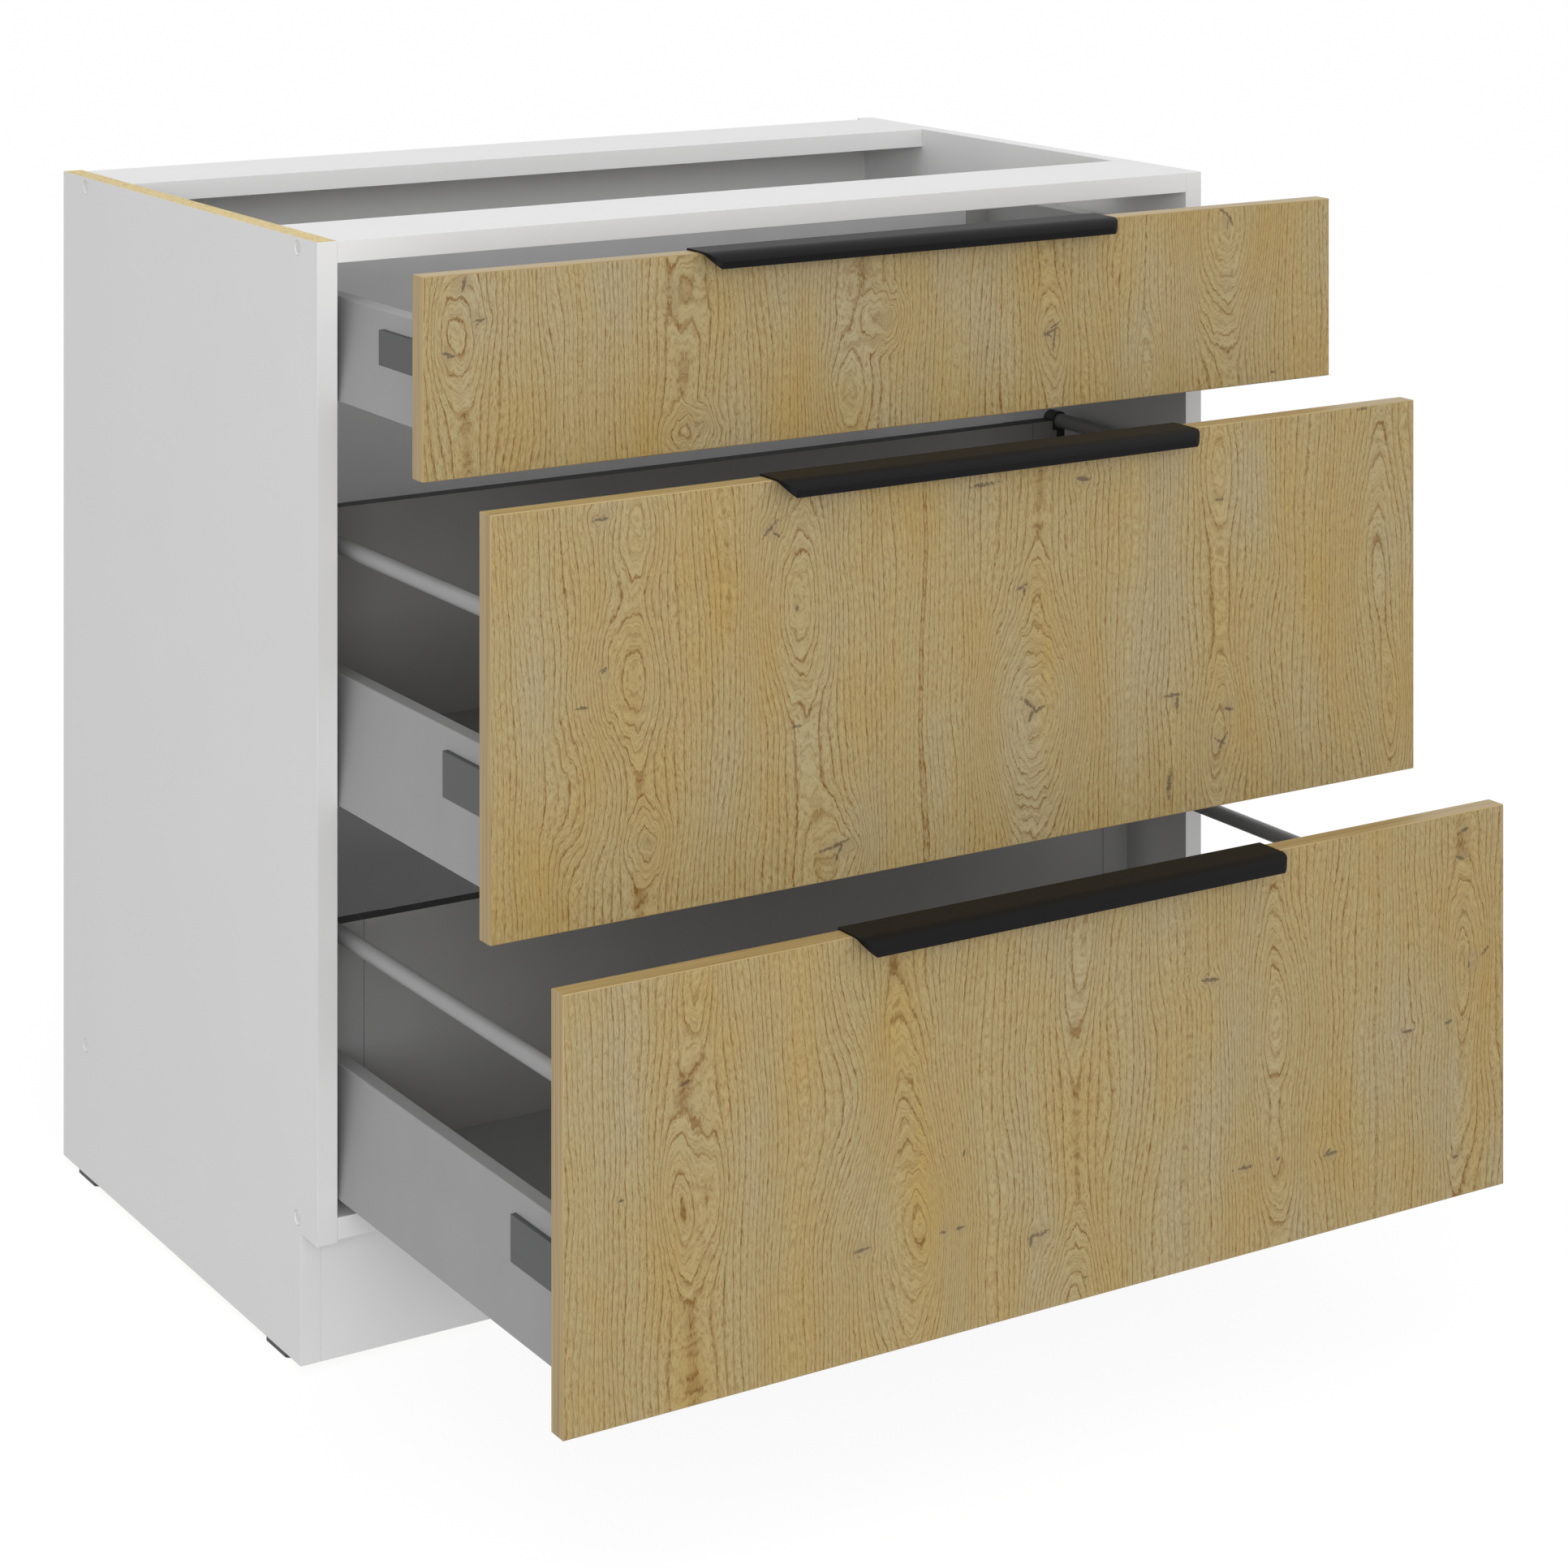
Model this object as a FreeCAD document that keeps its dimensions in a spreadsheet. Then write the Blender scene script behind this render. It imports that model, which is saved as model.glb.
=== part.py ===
import FreeCAD, Part
import math
import os
import re

import Sketcher
from FreeCAD import Placement, Rotation, Vector

# Kitchen base cabinet with three pull-out drawers, in millimetres.
#
# A frameless carcass of 16 mm board stands on four floor glides: two sides
# with a toe notch, a bottom, two top rails, a thin back in grooves and a
# toe kick. Each drawer is a double-wall steel box on concealed runners of
# three members: a cabinet member screwed to the carcass, a middle member
# that travels half as far as the drawer, and a drawer member spot-welded
# inside the steel side. The fronts carry an edge pull over their top edge.
#
# The frame: X across the cabinet, Y from the drawers to the back, Z up. The
# origin is on the floor, under the middle of the whole piece with its
# drawers pulled out as far as the three opening sizes say.

DIMENSIONS = (
    # carcass
    ("cabinet_width", 800),
    ("cabinet_height", 820),
    ("cabinet_depth", 500),
    ("board", 16),
    ("toe_height", 100),
    ("toe_recess", 28.5),
    ("bottom_panel_base", 102),
    ("rail_width", 100),
    ("rear_setback", 10),
    ("back_sheet", 3),
    ("groove_depth", 8),
    ("groove_play", 0.1),
    # floor glides under the side panels
    ("glide_height", 4),
    ("glide_length", 40),
    ("glide_width", 14),
    ("glide_corner", 3),
    ("front_glide_setback", 54),
    ("rear_glide_setback", 30),
    # carcass joints: one-piece connecting screws under caps
    ("front_joint_setback", 34),
    ("rear_joint_setback", 50),
    ("connector_length", 50),
    ("connector_head", 10),
    ("connector_head_height", 3),
    ("connector_shank", 7),
    ("screw_cap_diameter", 11),
    ("screw_cap_thickness", 0.8),
    ("screw_cap_play", 0.2),
    # angles behind the toe kick
    ("angle_leg", 25),
    ("angle_thickness", 4),
    ("angle_height", 24),
    ("angle_base", 40),
    # drawer fronts: the two deep ones share what the others leave
    ("front_side_reveal", 2),
    ("front_board", 16),
    ("lowest_front_edge", 103),
    ("lower_front_gap", 3),
    ("upper_front_gap", 4),
    ("top_front_height", 140),
    ("top_front_reveal", 4),
    ("front_clearance", 2.5),
    # how far each drawer is pulled out
    ("top_opening", 147),
    ("middle_opening", 247),
    ("bottom_opening", 347),
    # edge pull
    ("handle_length", 360),
    ("handle_plate", 1.5),
    ("handle_reach", 21),
    ("handle_top_flat", 7),
    ("handle_root_flat", 2),
    ("nose_drop", 4.7),
    ("nose_height", 5),
    ("nose_undercut", 1),
    ("handle_corner", 12),
    ("handle_flange", 26),
    # steel drawer sides
    ("side_gap", 1.5),
    ("side_lean", 9.5),
    ("side_top_width", 13),
    ("side_sheet", 1),
    ("side_flange", 16),
    ("side_bend", 0.6),
    ("shallow_side_height", 72),
    ("deep_side_height", 90),
    ("box_length", 402),
    ("top_box_rise", 28.5),
    ("middle_box_rise", 24.5),
    ("bottom_box_rise", 27.5),
    # cover caps in the steel sides, over the front brackets
    ("side_cap_length", 84),
    ("side_cap_setback", 10),
    ("side_cap_proud", 0.2),
    ("side_cap_seat", 1.8),
    ("side_cap_play", 0.2),
    ("shallow_cap_rise", 34),
    ("shallow_cap_height", 25),
    ("deep_cap_rise", 44),
    ("deep_cap_height", 32),
    # front brackets
    ("bracket_length", 100),
    ("bracket_wall", 1.5),
    ("bracket_margin", 3),
    # drawer floors and backs
    ("floor_rest", 2),
    ("floor_board", 8),
    ("floor_play", 0.2),
    ("floor_rear_gap", 1.2),
    ("back_board", 14),
    ("back_inset", 22),
    ("shallow_back_top", 72),
    ("deep_back_top", 180),
    # rear brackets that join the back to the sides
    ("rear_plate_lap", 3),
    ("rear_plate_sheet", 1.2),
    ("rear_plate_play", 0.3),
    ("rear_tab", 20),
    # gallery rods of the two deep drawers
    ("rod_diameter", 12),
    ("rod_drop", 0.5),
    ("rod_socket_wall", 1.5),
    ("rod_socket_depth", 14),
    ("rod_socket_drop", 17),
    ("rod_foot", 3),
    # runners
    ("runner_shortfall", 12),
    ("runner_setback", 3),
    ("cabinet_rail_setback", 37),
    ("runner_sheet", 1.2),
    ("runner_play", 0.4),
    ("runner_centre", 14),
    ("runner_head_width", 8),
    ("runner_foot_drop", 11.5),
    ("runner_flange_gap", 1),
    ("lower_head_rise", 8),
    ("upper_head_rise", 15),
    ("runner_weld_flange", 12),
)

doc = FreeCAD.newDocument("base_cabinet")
sizes = doc.addObject("Spreadsheet::Sheet", "Sizes")
for row, (alias, number) in enumerate(DIMENSIONS, start=1):
    sizes.set(f"A{row}", str(number))
    sizes.setAlias(f"A{row}", alias)
doc.recompute()
ALIASES = {alias for alias, number in DIMENSIONS}

# points nearer than this are one point
MERGE = 1e-4


# ---------------------------------------------------------------- places

# left inner face of the carcass, its front edges, and the rear of the carcass
INNER_FACE = "(cabinet_width / 2 - board)"
CARCASS_FRONT = ("((bottom_opening + front_clearance + front_board + handle_reach"
                 " - cabinet_depth) / 2)")
RAIL_BASE = "(cabinet_height - board)"
BACK_FACE = "(cabinet_depth - rear_setback - back_sheet)"

# across a steel side, from the carcass inwards, and up its section
SIDE_INNER = "(side_gap + side_lean + side_top_width)"
CAVITY_FACE = "(side_gap + side_lean + side_top_width - side_sheet)"
ROD_OFFSET = "(side_gap + side_lean + side_top_width / 2)"
ROD_SOCKET = "(rod_diameter + 2 * rod_socket_wall)"
BACK_END = "(side_gap + side_lean + side_top_width + back_inset)"
FLOOR_TOP = "(floor_rest + floor_board)"

RUNNER_LENGTH = "(box_length - runner_shortfall)"
ROD_RISE = "(deep_back_top - rod_drop)"

FRONT_WIDTH = "(cabinet_width - 2 * front_side_reveal)"
DEEP_FRONT_HEIGHT = ("((cabinet_height - top_front_reveal - top_front_height"
                     " - upper_front_gap - lower_front_gap"
                     " - lowest_front_edge) / 2)")
MIDDLE_FRONT_EDGE = f"(lowest_front_edge + {DEEP_FRONT_HEIGHT} + lower_front_gap)"
TOP_FRONT_EDGE = f"({MIDDLE_FRONT_EDGE} + {DEEP_FRONT_HEIGHT} + upper_front_gap)"

DRAWERS = (
    {"name": "top", "opening": "top_opening", "edge": TOP_FRONT_EDGE,
     "height": "top_front_height", "base": f"({TOP_FRONT_EDGE} + top_box_rise)",
     "side": "shallow_side_height", "back": "shallow_back_top",
     "cap_rise": "shallow_cap_rise", "cap_height": "shallow_cap_height",
     "rods": False},
    {"name": "middle", "opening": "middle_opening", "edge": MIDDLE_FRONT_EDGE,
     "height": DEEP_FRONT_HEIGHT,
     "base": f"({MIDDLE_FRONT_EDGE} + middle_box_rise)",
     "side": "deep_side_height", "back": "deep_back_top",
     "cap_rise": "deep_cap_rise", "cap_height": "deep_cap_height",
     "rods": True},
    {"name": "bottom", "opening": "bottom_opening", "edge": "lowest_front_edge",
     "height": DEEP_FRONT_HEIGHT,
     "base": "(lowest_front_edge + bottom_box_rise)",
     "side": "deep_side_height", "back": "deep_back_top",
     "cap_rise": "deep_cap_rise", "cap_height": "deep_cap_height",
     "rods": True},
)


# --------------------------------------------------------------- helpers

def bind(text):
    """Point every size named in an expression at its spreadsheet cell."""
    def cell(match):
        word = match.group()
        return f"Sizes.{word}" if word in ALIASES else word
    return re.sub(r"[a-z_]+", cell, str(text))


def value(text):
    """The present value of an expression, in millimetres."""
    return float(sizes.evalExpression(bind(text)))


def new_body(label, x="0", y="0", z="0"):
    """An empty body with its own origin at an expression-bound place."""
    body = doc.addObject("PartDesign::Body", label)
    body.Label = label
    for axis, text in zip("xyz", (x, y, z)):
        body.setExpression(f"Placement.Base.{axis}", bind(text))
    return body


def new_sketch(body, plane, offset="0"):
    """A sketch on one of the body's origin planes, moved along its axis."""
    sketch = body.newObject("Sketcher::SketchObject", f"{body.Name}_sketch")
    origin_plane = next(feature for feature in body.Origin.OriginFeatures
                        if feature.Role == f"{plane}_Plane")
    sketch.AttachmentSupport = [(origin_plane, "")]
    sketch.MapMode = "FlatFace"
    sign = "-" if plane == "XZ" else ""
    sketch.setExpression("AttachmentOffset.Base.z", bind(f"{sign}({offset})"))
    return sketch


def pin_point(sketch, geometry, position, place):
    """Fix a sketch point at two expressions measured from the origin."""
    for kind, axis, text in zip(("DistanceX", "DistanceY"), (-2, -1), place):
        if str(text) == "0":
            sketch.addConstraint(Sketcher.Constraint(
                "PointOnObject", geometry, position, axis))
            continue
        number = sketch.addConstraint(Sketcher.Constraint(
            kind, -1, 1, geometry, position, value(text)))
        sketch.setExpression(f"Constraints[{number}]", bind(text))


def outline(body, plane, corners, offset="0"):
    """A closed polygon whose corners are pairs of expressions."""
    sketch = new_sketch(body, plane, offset)
    draw_polygon(sketch, corners)
    return sketch


def draw_polygon(sketch, corners):
    """Add a closed polygon to a sketch."""
    points = [Vector(value(u), value(v), 0) for u, v in corners]
    first = sketch.GeometryCount
    count = len(points)
    for index, start in enumerate(points):
        sketch.addGeometry(Part.LineSegment(start, points[(index + 1) % count]))
    for index in range(count):
        follower = first + (index + 1) % count
        sketch.addConstraint(Sketcher.Constraint(
            "Coincident", first + index, 2, follower, 1))
    for index, corner in enumerate(corners):
        pin_point(sketch, first + index, 1, corner)


def rectangle(low_u, low_v, high_u, high_v):
    """The corners of an upright rectangle."""
    return ((low_u, low_v), (high_u, low_v), (high_u, high_v), (low_u, high_v))


def circles(body, plane, centres, diameters, offset="0"):
    """Circles of one or more diameters about each centre."""
    sketch = new_sketch(body, plane, offset)
    for centre in centres:
        for diameter in diameters:
            middle = Vector(value(centre[0]), value(centre[1]), 0)
            round_edge = Part.Circle(middle, Vector(0, 0, 1), value(diameter) / 2)
            geometry = sketch.addGeometry(round_edge)
            pin_point(sketch, geometry, 3, centre)
            number = sketch.addConstraint(Sketcher.Constraint(
                "Diameter", geometry, value(diameter)))
            sketch.setExpression(f"Constraints[{number}]", bind(diameter))
    return sketch


def lies_on_xz(sketch):
    """Whether a sketch is on the XZ plane, whose normal points to -Y."""
    return sketch.AttachmentSupport[0][0].Role == "XZ_Plane"


def pad(body, sketch, length, forward=True):
    """Add material from a sketch along its axis."""
    feature = body.newObject("PartDesign::Pad", f"{body.Name}_pad")
    feature.Profile = sketch
    feature.setExpression("Length", bind(length))
    feature.Reversed = lies_on_xz(sketch) == forward
    return feature


def pocket(body, sketch, depth, forward=True):
    """Cut from a sketch along its axis."""
    feature = body.newObject("PartDesign::Pocket", f"{body.Name}_pocket")
    feature.Profile = sketch
    feature.setExpression("Length", bind(depth))
    feature.Reversed = lies_on_xz(sketch) != forward
    return feature


def round_bends(body, base, corners, radius):
    """Round the long edges that run along Y through corners of a section."""
    doc.recompute()
    places = [(value(x), value(z)) for x, z in corners]
    names = []
    for number, edge in enumerate(base.Shape.Edges, 1):
        start, end = (vertex.Point for vertex in edge.Vertexes)
        runs_along = abs(start.x - end.x) < MERGE and abs(start.z - end.z) < MERGE
        if runs_along and any(math.hypot(start.x - x, start.z - z) < MERGE
                              for x, z in places):
            names.append(f"Edge{number}")
    rounding = body.newObject("PartDesign::Fillet", f"{body.Name}_bend")
    rounding.Base = (base, names)
    rounding.setExpression("Radius", bind(radius))
    return rounding


def mirrored(label, source):
    """The right-hand twin of a left-hand piece."""
    twin = doc.addObject("Part::Mirroring", label)
    twin.Label = label
    twin.Source = source
    twin.Normal = Vector(1, 0, 0)
    return twin


def pair(label, source):
    """One sub-part of two pieces: a left-hand one and its twin."""
    both = doc.addObject("Part::Compound", label)
    both.Label = label
    both.Links = [source, mirrored(f"{label}_twin", source)]
    return both


def copies(label, source, places):
    """One sub-part of like pieces, each a turned copy at its own place."""
    group = doc.addObject("Part::Feature", label)
    group.Label = label
    solids = []
    for place, turn in places:
        solid = source.Shape.copy()
        position = Vector(*(value(text) for text in place))
        solid.Placement = Placement(position, turn)
        solids.append(solid)
    group.Shape = Part.Compound(solids)
    group.Placement = Placement()
    return group


def both_sides(places):
    """Each left-hand place of a piece, and its mirror image on the right."""
    result = []
    for (x, y, z), turn in places:
        result.append(((x, y, z), turn))
        axis = turn.multVec(Vector(0, 0, 1))
        other = Rotation(Vector(0, 0, 1), Vector(-axis.x, axis.y, axis.z))
        result.append(((f"-({x})", y, z), other))
    return result


# the way a fastener points: its shank runs along local +Z
INTO_RIGHT = Rotation(Vector(0, 1, 0), 90)
UPWARDS = Rotation()

parts = []


def keep(*pieces):
    """List finished sub-parts for export."""
    parts.extend(pieces)


# ------------------------------------------------------- fastener masters

def turned_body(label, profile):
    """A round fastener: a closed half section turned about its long axis."""
    body = new_body(label)
    sketch = outline(body, "XZ", profile)
    turn = body.newObject("PartDesign::Revolution", f"{label}_revolution")
    turn.Profile = sketch
    turn.ReferenceAxis = (sketch, ["V_Axis"])
    turn.Angle = 360
    return body


connector = turned_body("connector", (
    ("0", "0"),
    ("connector_head / 2", "0"),
    ("connector_head / 2", "connector_head_height"),
    ("connector_shank / 2", "connector_head_height"),
    ("connector_shank / 2", "connector_length"),
    ("0", "connector_length")))
screw_cap = turned_body("screw_cap_master", (
    ("0", "0"),
    ("screw_cap_diameter / 2", "0"),
    ("screw_cap_diameter / 2", "screw_cap_thickness"),
    ("0", "screw_cap_thickness")))


# ---------------------------------------------------------------- carcass

# (Y, Z) on a side panel, from the carcass front and the floor
REAR_JOINT = "cabinet_depth - rear_joint_setback"
BOTTOM_MIDDLE = "bottom_panel_base + board / 2"
RAIL_MIDDLE = "cabinet_height - board / 2"
CONNECTORS = tuple((y, z) for z in (BOTTOM_MIDDLE, RAIL_MIDDLE)
                   for y in ("front_joint_setback", REAR_JOINT))
GLIDES = ("front_glide_setback",
          "cabinet_depth - rear_glide_setback - glide_length")


def side_panel():
    """The left side with its toe notch, back groove and bored holes."""
    panel = new_body("side_panel_left", "-cabinet_width / 2", CARCASS_FRONT)
    pad(panel, outline(panel, "YZ", (
        ("0", "toe_height"),
        ("toe_recess", "toe_height"),
        ("toe_recess", "glide_height"),
        ("cabinet_depth", "glide_height"),
        ("cabinet_depth", "cabinet_height"),
        ("0", "cabinet_height"))), "board")
    pocket(panel, outline(panel, "YZ", rectangle(
        f"{BACK_FACE} - groove_play", "bottom_panel_base",
        "cabinet_depth - rear_setback + groove_play", RAIL_BASE),
        "board"), "groove_depth", forward=False)
    pocket(panel, circles(panel, "YZ", CONNECTORS,
                          ["screw_cap_diameter + 2 * screw_cap_play"]),
           "screw_cap_thickness + connector_head_height")
    pocket(panel, circles(panel, "YZ", CONNECTORS, ["connector_shank"]),
           "board")
    return panel


def cross_board(label, y, z, depth, joints):
    """A board between the sides, bored in its ends for connecting screws."""
    board = new_body(label, f"-{INNER_FACE}", f"{CARCASS_FRONT} + {y}", z)
    span = f"2 * {INNER_FACE}"
    pad(board, outline(board, "XY", rectangle("0", "0", span, depth)), "board")
    centres = [(f"{place} - ({y})", "board / 2") for place in joints]
    for end, offset in ((True, "0"), (False, span)):
        bores = circles(board, "YZ", centres, ["connector_shank"], offset)
        pocket(board, bores, "connector_length + screw_cap_thickness - board",
               forward=end)
    return board


def back_panel():
    """The thin back, held in the grooves of the sides."""
    width = f"2 * ({INNER_FACE} + groove_depth - groove_play)"
    panel = new_body("back_panel", f"-({width}) / 2",
                     f"{CARCASS_FRONT} + {BACK_FACE}")
    pad(panel, outline(panel, "XZ", rectangle(
        "0", "bottom_panel_base + groove_play", width, RAIL_BASE)), "back_sheet")
    return panel


def toe_kick():
    """The plinth board between the sides, flush with their notches."""
    kick = new_body("toe_kick", f"-{INNER_FACE}", f"{CARCASS_FRONT} + toe_recess")
    pad(kick, outline(kick, "XZ", rectangle(
        "0", "glide_height", f"2 * {INNER_FACE}", "bottom_panel_base")), "board")
    return kick


def toe_kick_angle():
    """A plastic angle in the corner of the toe kick and the left side."""
    angle = new_body("toe_kick_angle", f"-{INNER_FACE}",
                     f"{CARCASS_FRONT} + toe_recess + board", "angle_base")
    pad(angle, outline(angle, "XY", (
        ("0", "0"),
        ("angle_leg", "0"),
        ("angle_leg", "angle_thickness"),
        ("angle_thickness", "angle_thickness"),
        ("angle_thickness", "angle_leg"),
        ("0", "angle_leg"))), "angle_height")
    return angle


def floor_glide():
    """A flat glide with clipped corners."""
    glide = new_body("floor_glide")
    x, y = "glide_width / 2", "glide_length / 2"
    short_x, short_y = f"({x} - glide_corner)", f"({y} - glide_corner)"
    pad(glide, outline(glide, "XY", (
        (short_x, f"-{y}"), (x, f"-{short_y}"),
        (x, short_y), (short_x, y),
        (f"-{short_x}", y), (f"-{x}", short_y),
        (f"-{x}", f"-{short_y}"), (f"-{short_x}", f"-{y}"))), "glide_height")
    return glide


def build_carcass():
    """Every fixed piece of the cabinet."""
    left = side_panel()
    keep(left, mirrored("side_panel_right", left))
    keep(cross_board("bottom_panel", "0", "bottom_panel_base", BACK_FACE,
                     ["front_joint_setback", REAR_JOINT]))
    keep(cross_board("top_rail_front", "0", RAIL_BASE, "rail_width",
                     ["front_joint_setback"]))
    keep(cross_board("top_rail_rear",
                     "(cabinet_depth - rear_setback - rail_width)", RAIL_BASE,
                     "rail_width", [REAR_JOINT]))
    keep(back_panel(), toe_kick(), pair("toe_kick_angles", toe_kick_angle()))
    glide = floor_glide()
    doc.recompute()

    outer = "-cabinet_width / 2"
    keep(copies("floor_glides", glide, both_sides([
        ((f"{outer} + board / 2", f"{CARCASS_FRONT} + {start} + glide_length / 2",
          "0"), UPWARDS) for start in GLIDES])))
    keep(copies("connector_screws", connector, both_sides([
        ((f"{outer} + screw_cap_thickness", f"{CARCASS_FRONT} + {y}", z),
         INTO_RIGHT) for y, z in CONNECTORS])))
    keep(copies("screw_caps", screw_cap, both_sides([
        ((outer, f"{CARCASS_FRONT} + {y}", z), INTO_RIGHT)
        for y, z in CONNECTORS])))


# ---------------------------------------------------------------- runners

def mid_x(sign, text):
    """A distance to the left (-1) or right (+1) of the runner's centre."""
    return f"runner_centre {'-' if sign < 0 else '+'} ({text})"


def channel(head_top):
    """Inner and outer edges of a channel that hugs a head with play."""
    return {"lip": f"{head_top} - 2 * runner_sheet - runner_play",
            "lip_top": f"{head_top} - runner_sheet - runner_play",
            "roof": f"{head_top} + runner_play",
            "roof_top": f"{head_top} + runner_play + runner_sheet",
            "slot": "runner_sheet / 2 + runner_play",
            "inside": "runner_head_width / 2 + runner_play",
            "outside": "runner_head_width / 2 + runner_play + runner_sheet"}


def cabinet_member(drawer):
    """The fixed member: a screwed flange, a web and a T-shaped head."""
    rail = new_body(f"{drawer['name']}_cabinet_rail", f"-{INNER_FACE}",
                    f"{CARCASS_FRONT} + cabinet_rail_setback",
                    f"{drawer['base']} - runner_foot_drop")
    post = "runner_sheet / 2"
    head = "runner_head_width / 2"
    top = "runner_foot_drop + lower_head_rise"
    under = f"{top} - runner_sheet"
    flange_top = "runner_foot_drop - runner_flange_gap"
    pad(rail, outline(rail, "XZ", (
        ("0", "0"),
        (mid_x(+1, post), "0"),
        (mid_x(+1, post), under),
        (mid_x(+1, head), under),
        (mid_x(+1, head), top),
        (mid_x(-1, head), top),
        (mid_x(-1, head), under),
        (mid_x(-1, post), under),
        (mid_x(-1, post), "runner_sheet"),
        ("runner_sheet", "runner_sheet"),
        ("runner_sheet", flange_top),
        ("0", flange_top))), RUNNER_LENGTH)
    return rail


def middle_member(drawer):
    """The travelling member: a channel on the fixed head, and its own head."""
    rail = new_body(f"{drawer['name']}_middle_rail_left", f"-{INNER_FACE}",
                    f"{CARCASS_FRONT} + runner_setback - {drawer['opening']} / 2",
                    drawer["base"])
    c = channel("lower_head_rise")
    post = "runner_sheet / 2"
    head = "runner_head_width / 2"
    top = "upper_head_rise"
    under = f"{top} - runner_sheet"
    left = ((mid_x(-1, c["slot"]), c["lip_top"]),
            (mid_x(-1, c["slot"]), c["lip"]),
            (mid_x(-1, c["outside"]), c["lip"]),
            (mid_x(-1, c["outside"]), c["roof_top"]),
            (mid_x(-1, post), c["roof_top"]),
            (mid_x(-1, post), under),
            (mid_x(-1, head), under),
            (mid_x(-1, head), top))
    right = ((mid_x(+1, head), top),
             (mid_x(+1, head), under),
             (mid_x(+1, post), under),
             (mid_x(+1, post), c["roof_top"]),
             (mid_x(+1, c["outside"]), c["roof_top"]),
             (mid_x(+1, c["outside"]), c["lip"]),
             (mid_x(+1, c["slot"]), c["lip"]),
             (mid_x(+1, c["slot"]), c["lip_top"]))
    inside = ((mid_x(+1, c["inside"]), c["lip_top"]),
              (mid_x(+1, c["inside"]), c["roof"]),
              (mid_x(-1, c["inside"]), c["roof"]),
              (mid_x(-1, c["inside"]), c["lip_top"]))
    pad(rail, outline(rail, "XZ", left + right + inside), RUNNER_LENGTH)
    return rail


def drawer_member(drawer, rear_face):
    """The member in the steel side: a channel and a spot-welded flange."""
    rail = new_body(f"{drawer['name']}_drawer_rail", f"-{INNER_FACE}",
                    f"{rear_face} + front_clearance + runner_setback",
                    drawer["base"])
    c = channel("upper_head_rise")
    flange_top = f"{c['roof_top']} + runner_weld_flange"
    pad(rail, outline(rail, "XZ", (
        (mid_x(-1, c["slot"]), c["lip_top"]),
        (mid_x(-1, c["slot"]), c["lip"]),
        (mid_x(-1, c["outside"]), c["lip"]),
        (mid_x(-1, c["outside"]), c["roof_top"]),
        (f"{CAVITY_FACE} - runner_sheet", c["roof_top"]),
        (f"{CAVITY_FACE} - runner_sheet", flange_top),
        (CAVITY_FACE, flange_top),
        (CAVITY_FACE, c["roof"]),
        (mid_x(+1, c["outside"]), c["roof"]),
        (mid_x(+1, c["outside"]), c["lip"]),
        (mid_x(+1, c["slot"]), c["lip"]),
        (mid_x(+1, c["slot"]), c["lip_top"]),
        (mid_x(+1, c["inside"]), c["lip_top"]),
        (mid_x(+1, c["inside"]), c["roof"]),
        (mid_x(-1, c["inside"]), c["roof"]),
        (mid_x(-1, c["inside"]), c["lip_top"]))), RUNNER_LENGTH)
    return rail


# ---------------------------------------------------------------- drawers

def cap_faces(drawer):
    """Distances of a side cap's upright face and back from the carcass.

    The face meets the leaning side at the cap's foot, the back at its top.
    """
    slope = f"side_lean / {drawer['side']}"
    low = drawer["cap_rise"]
    high = f"({low} + {drawer['cap_height']})"
    return (f"(side_gap + {slope} * {low} - side_cap_proud)",
            f"(side_gap + {slope} * {high} + side_cap_seat)")


def front_panel(drawer, rear_face):
    """The oak-faced front."""
    front = new_body(f"{drawer['name']}_drawer_front", f"-{FRONT_WIDTH} / 2",
                     f"{rear_face} - front_board", drawer["edge"])
    pad(front, outline(front, "XZ", rectangle(
        "0", "0", FRONT_WIDTH, drawer["height"])), "front_board")
    return front


def arc_between(centre, start, end):
    """A counter-clockwise arc of a circle about a centre."""
    angles = [math.atan2(point.y - centre.y, point.x - centre.x)
              for point in (start, end)]
    circle = Part.Circle(centre, Vector(0, 0, 1), (start - centre).Length)
    return Part.ArcOfCircle(circle, angles[0], angles[1])


def handle_section(body):
    """The edge pull's section, with its face curving down to a nose.

    Sketch X runs to the rear and Y up, from the front's top front edge.
    """
    sketch = new_sketch(body, "YZ")
    crease = ("-handle_reach", "-nose_drop")
    tip = ("-(handle_reach - nose_undercut)", "-(nose_drop + nose_height)")
    corners = [("-handle_root_flat", "0"),
               ("front_board", "0"),
               ("front_board", "-handle_flange"),
               ("front_board + handle_plate", "-handle_flange"),
               ("front_board + handle_plate", "handle_plate"),
               ("-handle_top_flat", "handle_plate"),
               crease, tip]
    points = [Vector(value(u), value(v), 0) for u, v in corners]
    for start, end in zip(points[:5], points[1:6]):
        sketch.addGeometry(Part.LineSegment(start, end))
    sketch.addGeometry(tangent_arc(points[5], points[6]))
    sketch.addGeometry(Part.LineSegment(points[6], points[7]))
    sketch.addGeometry(tangent_arc(points[0], points[7]))
    for index in range(4):
        sketch.addConstraint(Sketcher.Constraint(
            "Coincident", index, 2, index + 1, 1))
    # both arcs start on a level edge, and run down to the nose
    sketch.addConstraint(Sketcher.Constraint("Tangent", 4, 2, 5, 1))
    sketch.addConstraint(Sketcher.Constraint("Coincident", 5, 2, 6, 1))
    sketch.addConstraint(Sketcher.Constraint("Coincident", 6, 2, 7, 2))
    sketch.addConstraint(Sketcher.Constraint("Tangent", 0, 1, 7, 1))
    for index in range(6):
        position = (index, 1) if index < 5 else (4, 2)
        pin_point(sketch, *position, corners[index])
    pin_point(sketch, 6, 1, crease)
    pin_point(sketch, 6, 2, tip)
    return sketch


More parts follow.
